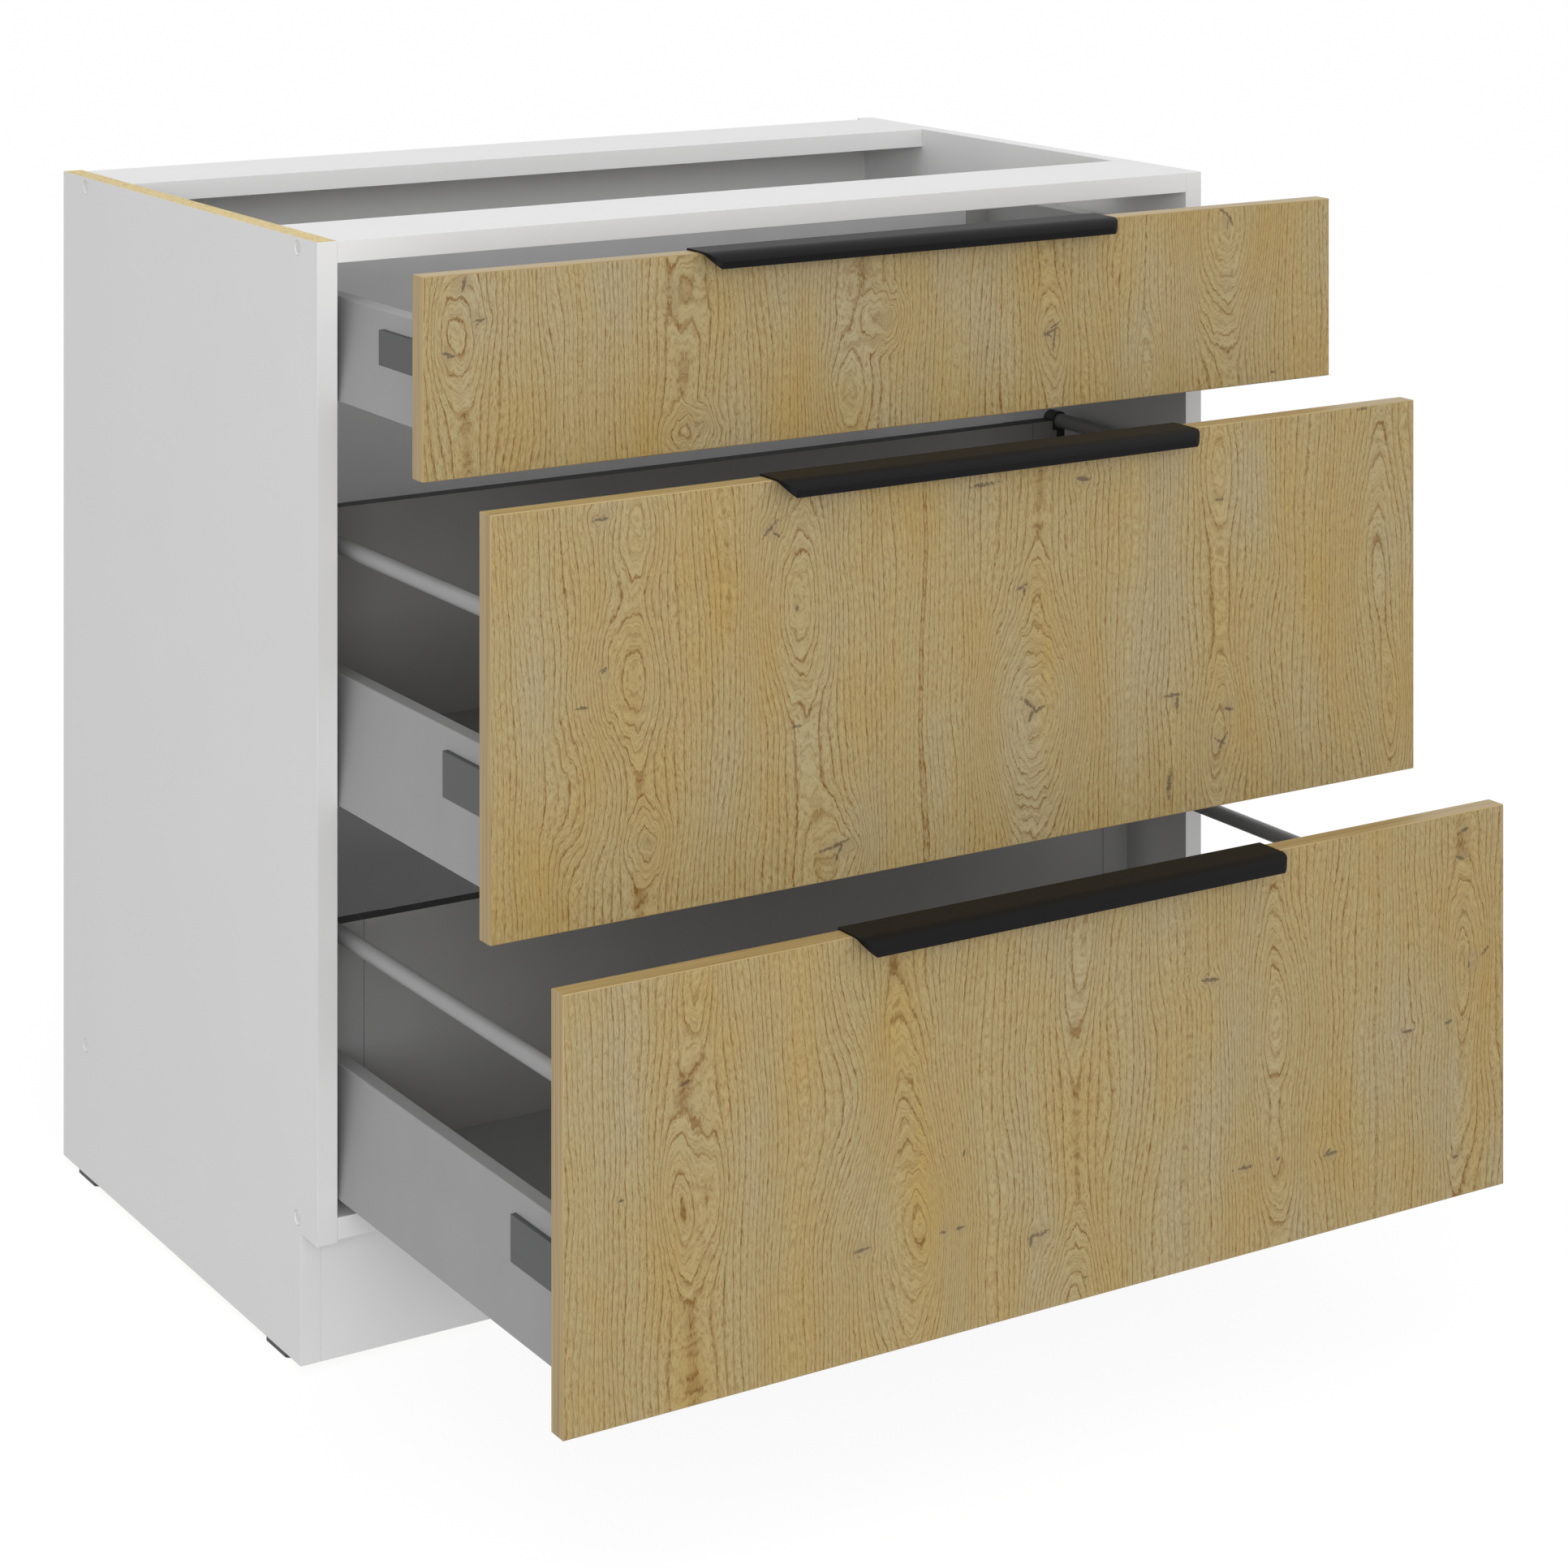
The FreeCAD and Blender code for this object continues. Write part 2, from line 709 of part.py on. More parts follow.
def tangent_arc(start, end):
    """An arc that leaves a level edge at start and falls away to end."""
    run = end.x - start.x
    fall = start.y - end.y
    radius = (run * run + fall * fall) / (2 * fall)
    return arc_between(Vector(start.x, start.y - radius, 0), start, end)


def handle(drawer, rear_face):
    """The edge pull over the front's top edge, rounded at its corners."""
    pull = new_body(f"{drawer['name']}_drawer_handle", "0",
                    f"{rear_face} - front_board",
                    f"{drawer['edge']} + {drawer['height']}")
    section = handle_section(pull)
    body = pad(pull, section, "handle_length")
    body.Midplane = True
    for side in ("-", ""):
        end = f"{side}(handle_length / 2)"
        start = f"{side}(handle_length / 2 - handle_corner)"
        pocket(pull, corner_cut(pull, end, start, side),
               "handle_plate + nose_drop + nose_height", forward=False)
    return pull


def corner_cut(body, end, start, side):
    """The waste outside a rounded corner of the nose, seen from above."""
    sketch = new_sketch(body, "XY", "handle_plate")
    nose = "-handle_reach"
    tangent = "-(handle_reach - handle_corner)"
    points = [Vector(value(u), value(v), 0)
              for u, v in ((end, tangent), (end, nose), (start, nose))]
    centre = Vector(points[2].x, points[0].y, 0)
    sketch.addGeometry(Part.LineSegment(points[0], points[1]))
    sketch.addGeometry(Part.LineSegment(points[1], points[2]))
    arc_ends = (points[2], points[0]) if side == "" else (points[0], points[2])
    sketch.addGeometry(arc_between(centre, *arc_ends))
    arc_start, arc_end = (1, 2) if side == "" else (2, 1)
    sketch.addConstraint(Sketcher.Constraint("Coincident", 0, 2, 1, 1))
    sketch.addConstraint(Sketcher.Constraint("Coincident", 1, 2, 2, arc_start))
    sketch.addConstraint(Sketcher.Constraint("Coincident", 2, arc_end, 0, 1))
    pin_point(sketch, 0, 1, (end, tangent))
    pin_point(sketch, 0, 2, (end, nose))
    pin_point(sketch, 1, 2, (start, nose))
    number = sketch.addConstraint(Sketcher.Constraint(
        "Radius", 2, value("handle_corner")))
    sketch.setExpression(f"Constraints[{number}]", bind("handle_corner"))
    return sketch


def steel_side(drawer, rear_face):
    """The left double-wall side: leaning outside, upright inside."""
    side = new_body(f"{drawer['name']}_drawer_side_left", f"-{INNER_FACE}",
                    rear_face, drawer["base"])
    height = drawer["side"]
    shoulder = f"{height} - side_sheet"
    shoulder_x = (f"side_gap + side_sheet + side_lean * ({shoulder}) / {height}")
    inner_bends = [(shoulder_x, shoulder), (CAVITY_FACE, shoulder)]
    outer_bends = [("side_gap + side_lean", height), (SIDE_INNER, height)]
    sheet = pad(side, outline(side, "XZ", (
        ("side_gap", "0"),
        ("side_gap + side_sheet", "0"),
        inner_bends[0],
        inner_bends[1],
        (CAVITY_FACE, "floor_rest - side_sheet"),
        (f"{SIDE_INNER} + side_flange", "floor_rest - side_sheet"),
        (f"{SIDE_INNER} + side_flange", "floor_rest"),
        (SIDE_INNER, "floor_rest"),
        outer_bends[1],
        outer_bends[0])), "box_length")
    bent = round_bends(side, sheet, inner_bends, "side_bend")
    round_bends(side, bent, outer_bends, "side_bend + side_sheet")
    # a pressed-in collar carries the cover cap
    rise, tall = drawer["cap_rise"], drawer["cap_height"]
    back = cap_faces(drawer)[1]
    low = f"({rise} - side_sheet)"
    high = f"({rise} + {tall} + side_sheet)"
    pad(side, outline(side, "XZ", (
        (f"side_gap + side_lean * {low} / {height}", low),
        (back, low),
        (back, high),
        (f"side_gap + side_lean * {high} / {height}", high)),
        "side_cap_setback - side_sheet"), "side_cap_length + 2 * side_sheet")
    pocket(side, outline(side, "YZ", rectangle(
        "side_cap_setback", rise, "side_cap_setback + side_cap_length",
        f"{rise} + {tall}")), f"{back} + side_sheet")
    return side


def side_cap(drawer, rear_face):
    """The plastic cover cap in the collar of the left side."""
    face, back = cap_faces(drawer)
    cap = new_body(f"{drawer['name']}_side_cap", f"-{INNER_FACE} + {face}",
                   rear_face, drawer["base"])
    rise, tall = drawer["cap_rise"], drawer["cap_height"]
    pad(cap, outline(cap, "YZ", rectangle(
        "side_cap_setback + side_cap_play", f"{rise} + side_cap_play",
        "side_cap_setback + side_cap_length - side_cap_play",
        f"{rise} + {tall} - side_cap_play")), f"{back} - {face}")
    return cap


def front_bracket(drawer, rear_face):
    """The U-shaped bracket in the side that holds the front."""
    bracket = new_body(f"{drawer['name']}_front_bracket", f"-{INNER_FACE}",
                       rear_face, drawer["base"])
    back = cap_faces(drawer)[1]
    low = f"({drawer['cap_rise']} - bracket_margin)"
    tall = f"{drawer['cap_height']} + 2 * bracket_margin"
    pad(bracket, outline(bracket, "XY", (
        (back, "0"),
        (CAVITY_FACE, "0"),
        (CAVITY_FACE, "bracket_length"),
        (f"{CAVITY_FACE} - bracket_wall", "bracket_length"),
        (f"{CAVITY_FACE} - bracket_wall", "bracket_wall"),
        (f"{back} + bracket_wall", "bracket_wall"),
        (f"{back} + bracket_wall", "bracket_length"),
        (back, "bracket_length")), low), tall)
    return bracket


def drawer_floor(drawer, rear_face):
    """The floor on the flanges of the two sides."""
    half = f"({INNER_FACE} - {SIDE_INNER} - floor_play)"
    floor = new_body(f"{drawer['name']}_drawer_floor", f"-{half}", rear_face,
                     f"{drawer['base']} + floor_rest")
    pad(floor, outline(floor, "XY", rectangle(
        "0", "0", f"2 * {half}", "box_length - floor_rear_gap")), "floor_board")
    return floor


def drawer_back(drawer, rear_face):
    """The back, between the two rear brackets."""
    half = f"({INNER_FACE} - {BACK_END})"
    back = new_body(f"{drawer['name']}_drawer_back", f"-{half}",
                    f"{rear_face} + box_length", drawer["base"])
    pad(back, outline(back, "XZ", rectangle(
        "0", "floor_rest", f"2 * {half}", drawer["back"])), "back_board")
    return back


def rear_bracket(drawer, rear_face):
    """The bent plate, flanged on top, that joins the back to the left side."""
    bracket = new_body(f"{drawer['name']}_rear_bracket", f"-{INNER_FACE}",
                       f"{rear_face} + box_length", drawer["base"])
    outer = f"({SIDE_INNER} - rear_plate_lap)"
    bend = f"({BACK_END} - rear_plate_play)"
    pad(bracket, outline(bracket, "XY", (
        (outer, "0"),
        (bend, "0"),
        (bend, "back_board"),
        (f"{BACK_END} + rear_tab", "back_board"),
        (f"{BACK_END} + rear_tab", "back_board + rear_plate_sheet"),
        (f"{bend} - rear_plate_sheet", "back_board + rear_plate_sheet"),
        (f"{bend} - rear_plate_sheet", "rear_plate_sheet"),
        (outer, "rear_plate_sheet")), "floor_rest"),
        f"{drawer['back']} - floor_rest")
    pad(bracket, outline(bracket, "XY", rectangle(
        outer, "0", bend, "back_board + rear_plate_sheet"),
        f"{drawer['back']} - rear_plate_sheet"), "rear_plate_sheet")
    if drawer["rods"]:
        # a notch leaves room for the rod's socket
        notch_x = f"{ROD_OFFSET} + {ROD_SOCKET} / 2 + rear_plate_play"
        notch_z = f"{ROD_RISE} - {ROD_SOCKET} / 2 - rear_plate_play"
        pocket(bracket, outline(bracket, "XZ", rectangle(
            outer, notch_z, notch_x, drawer["back"])),
            "back_board + rear_plate_sheet")
    return bracket


def gallery_rod(drawer, rear_face):
    """The round rod above the left steel side."""
    rod = new_body(f"{drawer['name']}_rod", f"-{INNER_FACE} + {ROD_OFFSET}",
                   rear_face, f"{drawer['base']} + {ROD_RISE}")
    pad(rod, circles(rod, "XZ", [("0", "0")], ["rod_diameter"], "rod_foot"),
        "box_length - rod_foot + rod_socket_wall")
    return rod


def rod_sockets(drawer, rear_face):
    """The sockets that hold the left rod at the front and at the back."""
    front = new_body(f"{drawer['name']}_front_socket",
                     f"-{INNER_FACE} + {ROD_OFFSET}", rear_face,
                     f"{drawer['base']} + {ROD_RISE}")
    half = f"{ROD_SOCKET} / 2"
    pad(front, outline(front, "XZ", rectangle(
        f"-{half}", f"-({half} + rod_socket_drop)", half, half)), "rod_foot")
    pad(front, outline(front, "XZ", rectangle(
        f"-{half}", f"-{half}", half, half), "rod_foot"), "rod_socket_depth")
    pocket(front, circles(front, "XZ", [("0", "0")], ["rod_diameter"],
                          "rod_foot"), "rod_socket_depth")

    rear = new_body(f"{drawer['name']}_rear_socket",
                    f"-{INNER_FACE} + {ROD_OFFSET}",
                    f"{rear_face} + box_length", f"{drawer['base']} + {ROD_RISE}")
    plate = "rear_plate_sheet"
    pad(rear, circles(rear, "XZ", [("0", "0")], [ROD_SOCKET]),
        "rod_socket_depth")
    pad(rear, outline(rear, "XZ", rectangle(
        f"-{half} + rod_socket_wall", f"-({half} + rod_socket_drop)",
        f"{half} - rod_socket_wall", "0"), plate),
        f"rod_socket_depth - {plate}")
    pocket(rear, circles(rear, "XZ", [("0", "0")], ["rod_diameter"]),
           "rod_socket_wall")
    return front, rear


def build_drawer(drawer):
    """One drawer and its two runners."""
    name = drawer["name"]
    rear_face = f"({CARCASS_FRONT} - front_clearance - {drawer['opening']})"
    side = steel_side(drawer, rear_face)
    keep(front_panel(drawer, rear_face), handle(drawer, rear_face))
    keep(side, mirrored(f"{name}_drawer_side_right", side))
    keep(drawer_floor(drawer, rear_face), drawer_back(drawer, rear_face))
    keep(pair(f"{name}_side_caps", side_cap(drawer, rear_face)))
    keep(pair(f"{name}_front_brackets", front_bracket(drawer, rear_face)))
    keep(pair(f"{name}_rear_brackets", rear_bracket(drawer, rear_face)))
    if drawer["rods"]:
        keep(pair(f"{name}_gallery_rods", gallery_rod(drawer, rear_face)))
        sockets = doc.addObject("Part::Compound", f"{name}_rod_sockets")
        sockets.Label = f"{name}_rod_sockets"
        links = []
        for socket in rod_sockets(drawer, rear_face):
            links += [socket, mirrored(f"{socket.Name}_twin", socket)]
        sockets.Links = links
        keep(sockets)
    keep(pair(f"{name}_cabinet_rails", cabinet_member(drawer)))
    middle = middle_member(drawer)
    keep(middle, mirrored(f"{name}_middle_rail_right", middle))
    keep(pair(f"{name}_drawer_rails", drawer_member(drawer, rear_face)))


doc.recompute()
build_carcass()
for spec in DRAWERS:
    build_drawer(spec)
doc.recompute()


# ----------------------------------------------------- checks and export

for item in doc.Objects:
    if {"Invalid", "Error"} & set(item.State):
        raise RuntimeError(f"{item.Label} did not compute: {item.State}")

os.makedirs("parts", exist_ok=True)
for piece in parts:
    shape = piece.Shape
    if shape.isNull() or not shape.isValid() or not shape.Solids:
        raise RuntimeError(f"{piece.Label} has no valid shape")
    shape.exportStep(f"parts/{piece.Label}.step")
print(f"{len(parts)} sub-parts, {sum(len(p.Shape.Solids) for p in parts)} solids")
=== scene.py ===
import math
from functools import partial, reduce

import bmesh
import bpy
from bpy.props import FloatProperty, FloatVectorProperty, PointerProperty
from bpy.types import Operator, Panel, PropertyGroup
from mathutils import Matrix, Vector


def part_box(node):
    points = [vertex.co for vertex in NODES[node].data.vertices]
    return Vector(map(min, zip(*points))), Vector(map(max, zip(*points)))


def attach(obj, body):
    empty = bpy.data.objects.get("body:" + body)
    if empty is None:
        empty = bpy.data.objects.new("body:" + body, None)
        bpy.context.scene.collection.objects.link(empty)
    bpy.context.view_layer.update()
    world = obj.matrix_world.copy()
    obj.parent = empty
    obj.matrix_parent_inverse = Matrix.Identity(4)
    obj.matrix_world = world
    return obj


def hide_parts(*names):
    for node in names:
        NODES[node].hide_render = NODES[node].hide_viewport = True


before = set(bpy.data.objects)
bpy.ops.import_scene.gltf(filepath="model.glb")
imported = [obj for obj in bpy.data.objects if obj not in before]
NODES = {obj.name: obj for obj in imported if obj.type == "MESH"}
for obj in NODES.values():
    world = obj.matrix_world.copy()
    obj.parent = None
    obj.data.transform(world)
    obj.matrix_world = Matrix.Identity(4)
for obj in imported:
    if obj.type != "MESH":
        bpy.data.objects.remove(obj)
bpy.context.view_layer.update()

bl_info = {
    "name": "Base cabinet with drawers",
    "version": (1, 0, 0),
    "blender": (4, 5, 0),
    "location": "View3D > Sidebar > Cabinet",
    "description": "Dresses the packed base cabinet in its boards, fronts, "
                   "fittings and finishes",
    "category": "Object",
}

MM = 0.001
FACING = 0.9               # cosine past which a face looks one way
SHARP = math.radians(30)   # angle past which an edge is rounded or kept sharp
DRAWERS = ("top", "middle", "bottom")
SIDES = {"left": -1, "right": 1}
CABINET_MIDDLE = Vector((0, -0.1, 0.4))
FRAME_WIDTH = 1932         # pixels of the photograph's square frame


def linear(hex_colour):
    """The linear red, green and blue of an sRGB colour such as 0xE4E4E3."""
    channels = [(hex_colour >> shift & 255) / 255 for shift in (16, 8, 0)]
    return tuple(c / 12.92 if c <= 0.04045 else ((c + 0.055) / 1.055) ** 2.4
                 for c in channels)


# ---------------------------------------------------------------- settings

class CabinetSizes(PropertyGroup):
    """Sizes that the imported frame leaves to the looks."""

    board_edge: FloatProperty(
        name="Board edge", unit="LENGTH", default=0.4 * MM,
        description="Radius left on a board's banded edge by the scraper")
    front_edge: FloatProperty(
        name="Front edge", unit="LENGTH", default=0.8 * MM,
        description="Radius milled on the fronts' edging")
    edging: FloatProperty(
        name="Edging", unit="LENGTH", default=0.7 * MM,
        description="Thickness of the fronts' edging")
    sheet_edge: FloatProperty(
        name="Sheet edge", unit="LENGTH", default=0.2 * MM,
        description="Radius on the cut edges of metal parts")
    pull_edge: FloatProperty(
        name="Pull edge", unit="LENGTH", default=0.4 * MM,
        description="Radius on the edges of the pulls")
    screw_head: FloatProperty(
        name="Screw head", unit="LENGTH", default=6.4 * MM,
        description="Diameter of the pan heads")
    rail_screw: FloatProperty(
        name="Screw setback", unit="LENGTH", default=18 * MM,
        description="From a rail's or bracket's end to its screw")
    strip: FloatProperty(
        name="Strip", unit="LENGTH", default=1.2 * MM,
        description="Thickness of the rails' steel strip")
    angle: FloatProperty(
        name="Angle", unit="LENGTH", default=4 * MM,
        description="Thickness of the toe kick's angles")
    toe_height: FloatProperty(
        name="Toe height", unit="LENGTH", default=100 * MM,
        description="Top of the sides' toe notch")
    cap: FloatProperty(
        name="Cap", unit="LENGTH", default=11 * MM,
        description="Diameter of the caps over the connecting screws")
    cap_dish: FloatProperty(
        name="Cap dish", unit="LENGTH", default=1.2 * MM,
        description="How deep a cap's face is dished")
    cap_recess: FloatProperty(
        name="Cap recess", unit="LENGTH", default=3.8 * MM,
        description="Depth of the bore under a cap")


class CabinetFinish(PropertyGroup):
    """Colours of the boards and fittings."""

    melamine: FloatVectorProperty(
        name="White melamine", subtype="COLOR", min=0, max=1,
        default=linear(0xE6E6E6), description="Faces of the carcass boards")
    grey_board: FloatVectorProperty(
        name="Grey board", subtype="COLOR", min=0, max=1,
        default=linear(0x969696), description="Drawer floors and deep backs")
    pale_board: FloatVectorProperty(
        name="Pale grey board", subtype="COLOR", min=0, max=1,
        default=linear(0xC6C7CA), description="Back of the top drawer")
    oak_gold: FloatVectorProperty(
        name="Oak, golden ground", subtype="COLOR", min=0, max=1,
        default=linear(0xAF965A), description="Warm stretches of the decor")
    oak_grey: FloatVectorProperty(
        name="Oak, greyish ground", subtype="COLOR", min=0, max=1,
        default=linear(0xAC9F7B), description="Cool stretches of the decor")
    oak_line: FloatVectorProperty(
        name="Oak, late wood", subtype="COLOR", min=0, max=1,
        default=linear(0x755110), description="Colour of the decor's lines")
    steel: FloatVectorProperty(
        name="Painted steel", subtype="COLOR", min=0, max=1,
        default=linear(0x999999), description="Sides of the drawers")
    pull: FloatVectorProperty(
        name="Edge pulls", subtype="COLOR", min=0, max=1,
        default=linear(0x111112), description="Coated edge pulls")


class CabinetStudio(PropertyGroup):
    """Light around the cabinet."""

    dome: FloatProperty(
        name="Dome", default=0.71, min=0,
        description="Strength of the even light from all sides")
    ceiling: FloatProperty(
        name="Ceiling lamp", default=14.0, min=0, unit="POWER",
        description="Power of the wide lamp overhead")
    front: FloatProperty(
        name="Front lamp", default=46.0, min=0, unit="POWER",
        description="Power of the wide lamp before the fronts")
    left: FloatProperty(
        name="Left lamp", default=19.0, min=0, unit="POWER",
        description="Power of the wide lamp on the left of the fronts")
    right: FloatProperty(
        name="Right lamp", default=13.0, min=0, unit="POWER",
        description="Power of the wide lamp on the right of the fronts")


# ------------------------------------------------------------------ tools

def deselect():
    for obj in bpy.context.selected_objects:
        obj.select_set(False)


def alone(obj):
    """Makes obj the only selected object, and the active one."""
    deselect()
    obj.select_set(True)
    bpy.context.view_layer.objects.active = obj


def pick(obj, kind, test):
    """In edit mode, selects only the edges or faces that pass test."""
    mesh = bmesh.from_edit_mesh(obj.data)
    bpy.ops.mesh.select_mode(type=kind)
    bpy.ops.mesh.select_all(action="DESELECT")
    mesh.normal_update()
    for part in mesh.edges if kind == "EDGE" else mesh.faces:
        if test(part):
            part.select_set(True)
    mesh.select_flush_mode()
    bmesh.update_edit_mesh(obj.data)


def block(name, low, high):
    """A cube primitive between two corners, its place in its mesh."""
    low, high = Vector(low), Vector(high)
    deselect()
    bpy.ops.mesh.primitive_cube_add(
        size=1, location=(low + high) / 2, scale=high - low)
    return settled(name)


def rod(name, start, length, radius, axis, sides=48):
    """A cylinder primitive that runs from start along X or Z."""
    step, turn = {"X": (Vector((1, 0, 0)), (0, math.pi / 2, 0)),
                  "Z": (Vector((0, 0, 1)), (0, 0, 0))}[axis]
    deselect()
    bpy.ops.mesh.primitive_cylinder_add(
        vertices=sides, radius=radius, depth=length, rotation=turn,
        location=Vector(start) + step * length / 2)
    return settled(name)


def settled(name):
    """Names the active object and moves its place into its mesh."""
    obj = bpy.context.active_object
    obj.name = obj.data.name = name
    bpy.ops.object.transform_apply(location=True, rotation=True, scale=True)
    return obj


def twin_of(obj):
    """A copy of an object with a mesh of its own."""
    twin = obj.copy()
    twin.data = obj.data.copy()
    bpy.context.scene.collection.objects.link(twin)
    return twin


def merged_copy(name, node):
    """A merged copy of a CAD node, which stays as it is."""
    twin = twin_of(NODES[node])
    for key in [key for key in twin.keys() if key.startswith("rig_")]:
        del twin[key]
    twin.parent = None
    twin.data.materials.clear()
    alone(twin)
    settled(name)
    bpy.ops.object.mode_set(mode="EDIT")
    bpy.ops.mesh.select_all(action="SELECT")
    bpy.ops.mesh.remove_doubles(threshold=0.01 * MM)
    bpy.ops.mesh.dissolve_limited(angle_limit=math.radians(0.5))
    bpy.ops.object.mode_set(mode="OBJECT")
    return twin


def apply_modifier(obj, kind, **settings):
    """Adds a modifier with its settings, and applies it at once."""
    alone(obj)
    modifier = obj.modifiers.new(kind.title(), kind)
    for key, value in settings.items():
        setattr(modifier, key, value)
    bpy.ops.object.modifier_apply(modifier=modifier.name)


def rounded(obj, width, segments=2):
    """Rounds the sharp edges."""
    apply_modifier(obj, "BEVEL", width=width, segments=segments,
                   limit_method="ANGLE", angle_limit=SHARP,
                   use_clamp_overlap=True)
    return obj


def shaded(obj, angle=SHARP):
    """Shades curves smoothly, and keeps flat faces flat beside them."""
    alone(obj)
    bpy.ops.object.shade_smooth_by_angle(angle=angle)
    apply_modifier(obj, "WEIGHTED_NORMAL", keep_sharp=True, weight=100)
    return obj


def soften(obj, width, segments=2):
    return shaded(rounded(obj, width, segments))


def carve(obj, *cutters):
    """Cuts the cutters out of a piece, and deletes them."""
    for cutter in cutters:
        apply_modifier(obj, "BOOLEAN", operation="DIFFERENCE", object=cutter,
                       solver="EXACT")
        bpy.data.objects.remove(cutter)
    return obj


def join(pieces, name):
    """Joins pieces into the first one."""
    alone(pieces[0])
    for piece in pieces:
        piece.select_set(True)
    bpy.ops.object.join()
    pieces[0].name = name
    return pieces[0]


def finish(obj, materials, body, node=None):
    """Gives a piece its finish and its body, and hides the node that it stands
    for.
    """
    for material in materials:
        obj.data.materials.append(material)
    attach(obj, body)
    if node:
        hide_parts(node)


def paint(obj, test):
    """Gives the faces that pass test the piece's second material."""
    for face in obj.data.polygons:
        if test(face.center, face.normal):
            face.material_index = 1


def dress(material, *nodes):
    """Puts a material on CAD nodes that are shown as they are."""
    for node in nodes:
        NODES[node].data.materials.clear()
        NODES[node].data.materials.append(material)


def pan_screw():
    """A pan-head screw's head: crowned, with a cross recess, facing up."""
    radius = bpy.context.scene.cabinet_sizes.screw_head / 2
    height = radius * 0.55
    head = rod("screw_head", (0, 0, 0), height, radius, "Z", sides=28)
    bpy.ops.object.mode_set(mode="EDIT")
    pick(head, "EDGE", lambda edge: all(
        vert.co.z > height * 0.9 for vert in edge.verts))
    bpy.ops.mesh.bevel(offset=height * 0.8, segments=4, profile=0.5)
    bpy.ops.object.mode_set(mode="OBJECT")
    long, thin = radius * 0.55, radius * 0.13
    carve(head, *(block("slot", (-x, -y, height * 0.5), (x, y, height * 2))
                  for x, y in ((long, thin), (thin, long))))
    return shaded(head, math.radians(40))


def dished_cap():
    """A cap that fills a screw's recess: a disc with a shallow dish, facing
    up."""
    sizes = bpy.context.scene.cabinet_sizes
    radius, dish = sizes.cap / 2, sizes.cap_dish
    cap = rod("cap", (0, 0, -2 * dish), 2 * dish, radius, "Z")
    hollow = radius * 0.93
    deselect()
    bpy.ops.mesh.primitive_uv_sphere_add(
        segments=36, ring_count=18, radius=1, scale=(hollow, hollow, dish))
    return shaded(carve(cap, settled("dish")), math.radians(40))


def spread(master, name, places, facing):
    """Copies of a piece that faces up, at places, turned to face one way, as
    one piece."""
    turn = Vector((0, 0, 1)).rotation_difference(Vector(facing)).to_matrix()
    copies = []
    for place in places:
        twin = twin_of(master)
        twin.matrix_world = Matrix.Translation(place) @ turn.to_4x4()
        copies.append(twin)
    bpy.data.objects.remove(master)
    alone(join(copies, name))
    return settled(name)


def screws(name, places, facing, body, zinc):
    """Pan heads at places, facing one way, as one piece of a body."""
    heads = spread(pan_screw(), name, places, facing)
    finish(heads, (zinc,), body)


# -------------------------------------------------------------- materials

def add_node(tree, kind, inputs=(), ramp=(), **settings):
    """Adds a node. Its inputs, in order or by key, are values, nodes or
    sockets, and a ramp's stops are pairs of a place and a colour."""
    node = tree.nodes.new("ShaderNode" + kind)
    for key, value in settings.items():
        setattr(node, key, value)
    if ramp:
        stops = node.color_ramp.elements
        while len(stops) < len(ramp):
            stops.new(0.5)
        for stop, (place, colour) in zip(stops, ramp):
            stop.position = place
            stop.color = (*colour, 1)
    if not isinstance(inputs, dict):
        inputs = dict(enumerate(inputs))
    for key, value in inputs.items():
        if isinstance(value, bpy.types.Node):
            value = value.outputs[0]
        if isinstance(value, bpy.types.NodeSocket):
            tree.links.new(value, node.inputs[key])
        else:
            node.inputs[key].default_value = value
    return node


def new_material(name, roughness, **shader):
    """A material with one Principled shader, and its node tree."""
    material = bpy.data.materials.new(name)
    material.use_nodes = True
    tree = material.node_tree
    principled = tree.nodes["Principled BSDF"]
    principled.inputs["Roughness"].default_value = roughness
    for key, value in shader.items():
        principled.inputs[key.replace("_", " ")].default_value = value
    return material, tree


def surface(tree, colour, height=None, strength=0, depth=0.1, **settings):
    """Gives a material's shader its colour from a socket, and a relief whose
    depth is in millimetres."""
    shader = tree.nodes["Principled BSDF"]
    tree.links.new(colour, shader.inputs["Base Color"])
    if height is not None:
        relief = add_node(tree, "Bump", {
            "Strength": strength, "Distance": depth * MM, "Height": height},
            **settings)
        tree.links.new(relief.outputs[0], shader.inputs["Normal"])


def object_place(tree, scale=(1, 1, 1)):
    """Object coordinates, stretched by a Mapping node."""
    place = add_node(tree, "TexCoord")
    return add_node(tree, "Mapping", {
        "Vector": place.outputs["Object"], "Scale": scale})


def grain(millimetres):
    """A noise scale whose features are about so many millimetres wide."""
    return 1 / (millimetres * MM)


def white_melamine():
    """Melamine-faced chipboard, pressed between fine pearl-textured plates:
    an even, hard white with a soft sheen and a very faint grain."""
    colour = tuple(bpy.context.scene.cabinet_finish.melamine)
    # the pearl texture's grain is about 0.6 mm, drawn at 1.2 mm to show
    return even_surface("pressed_white_melamine", colour, 0.42, 1.2, 0.05,
                        mottle=0.015, cloud_size=90, cloud_detail=2)


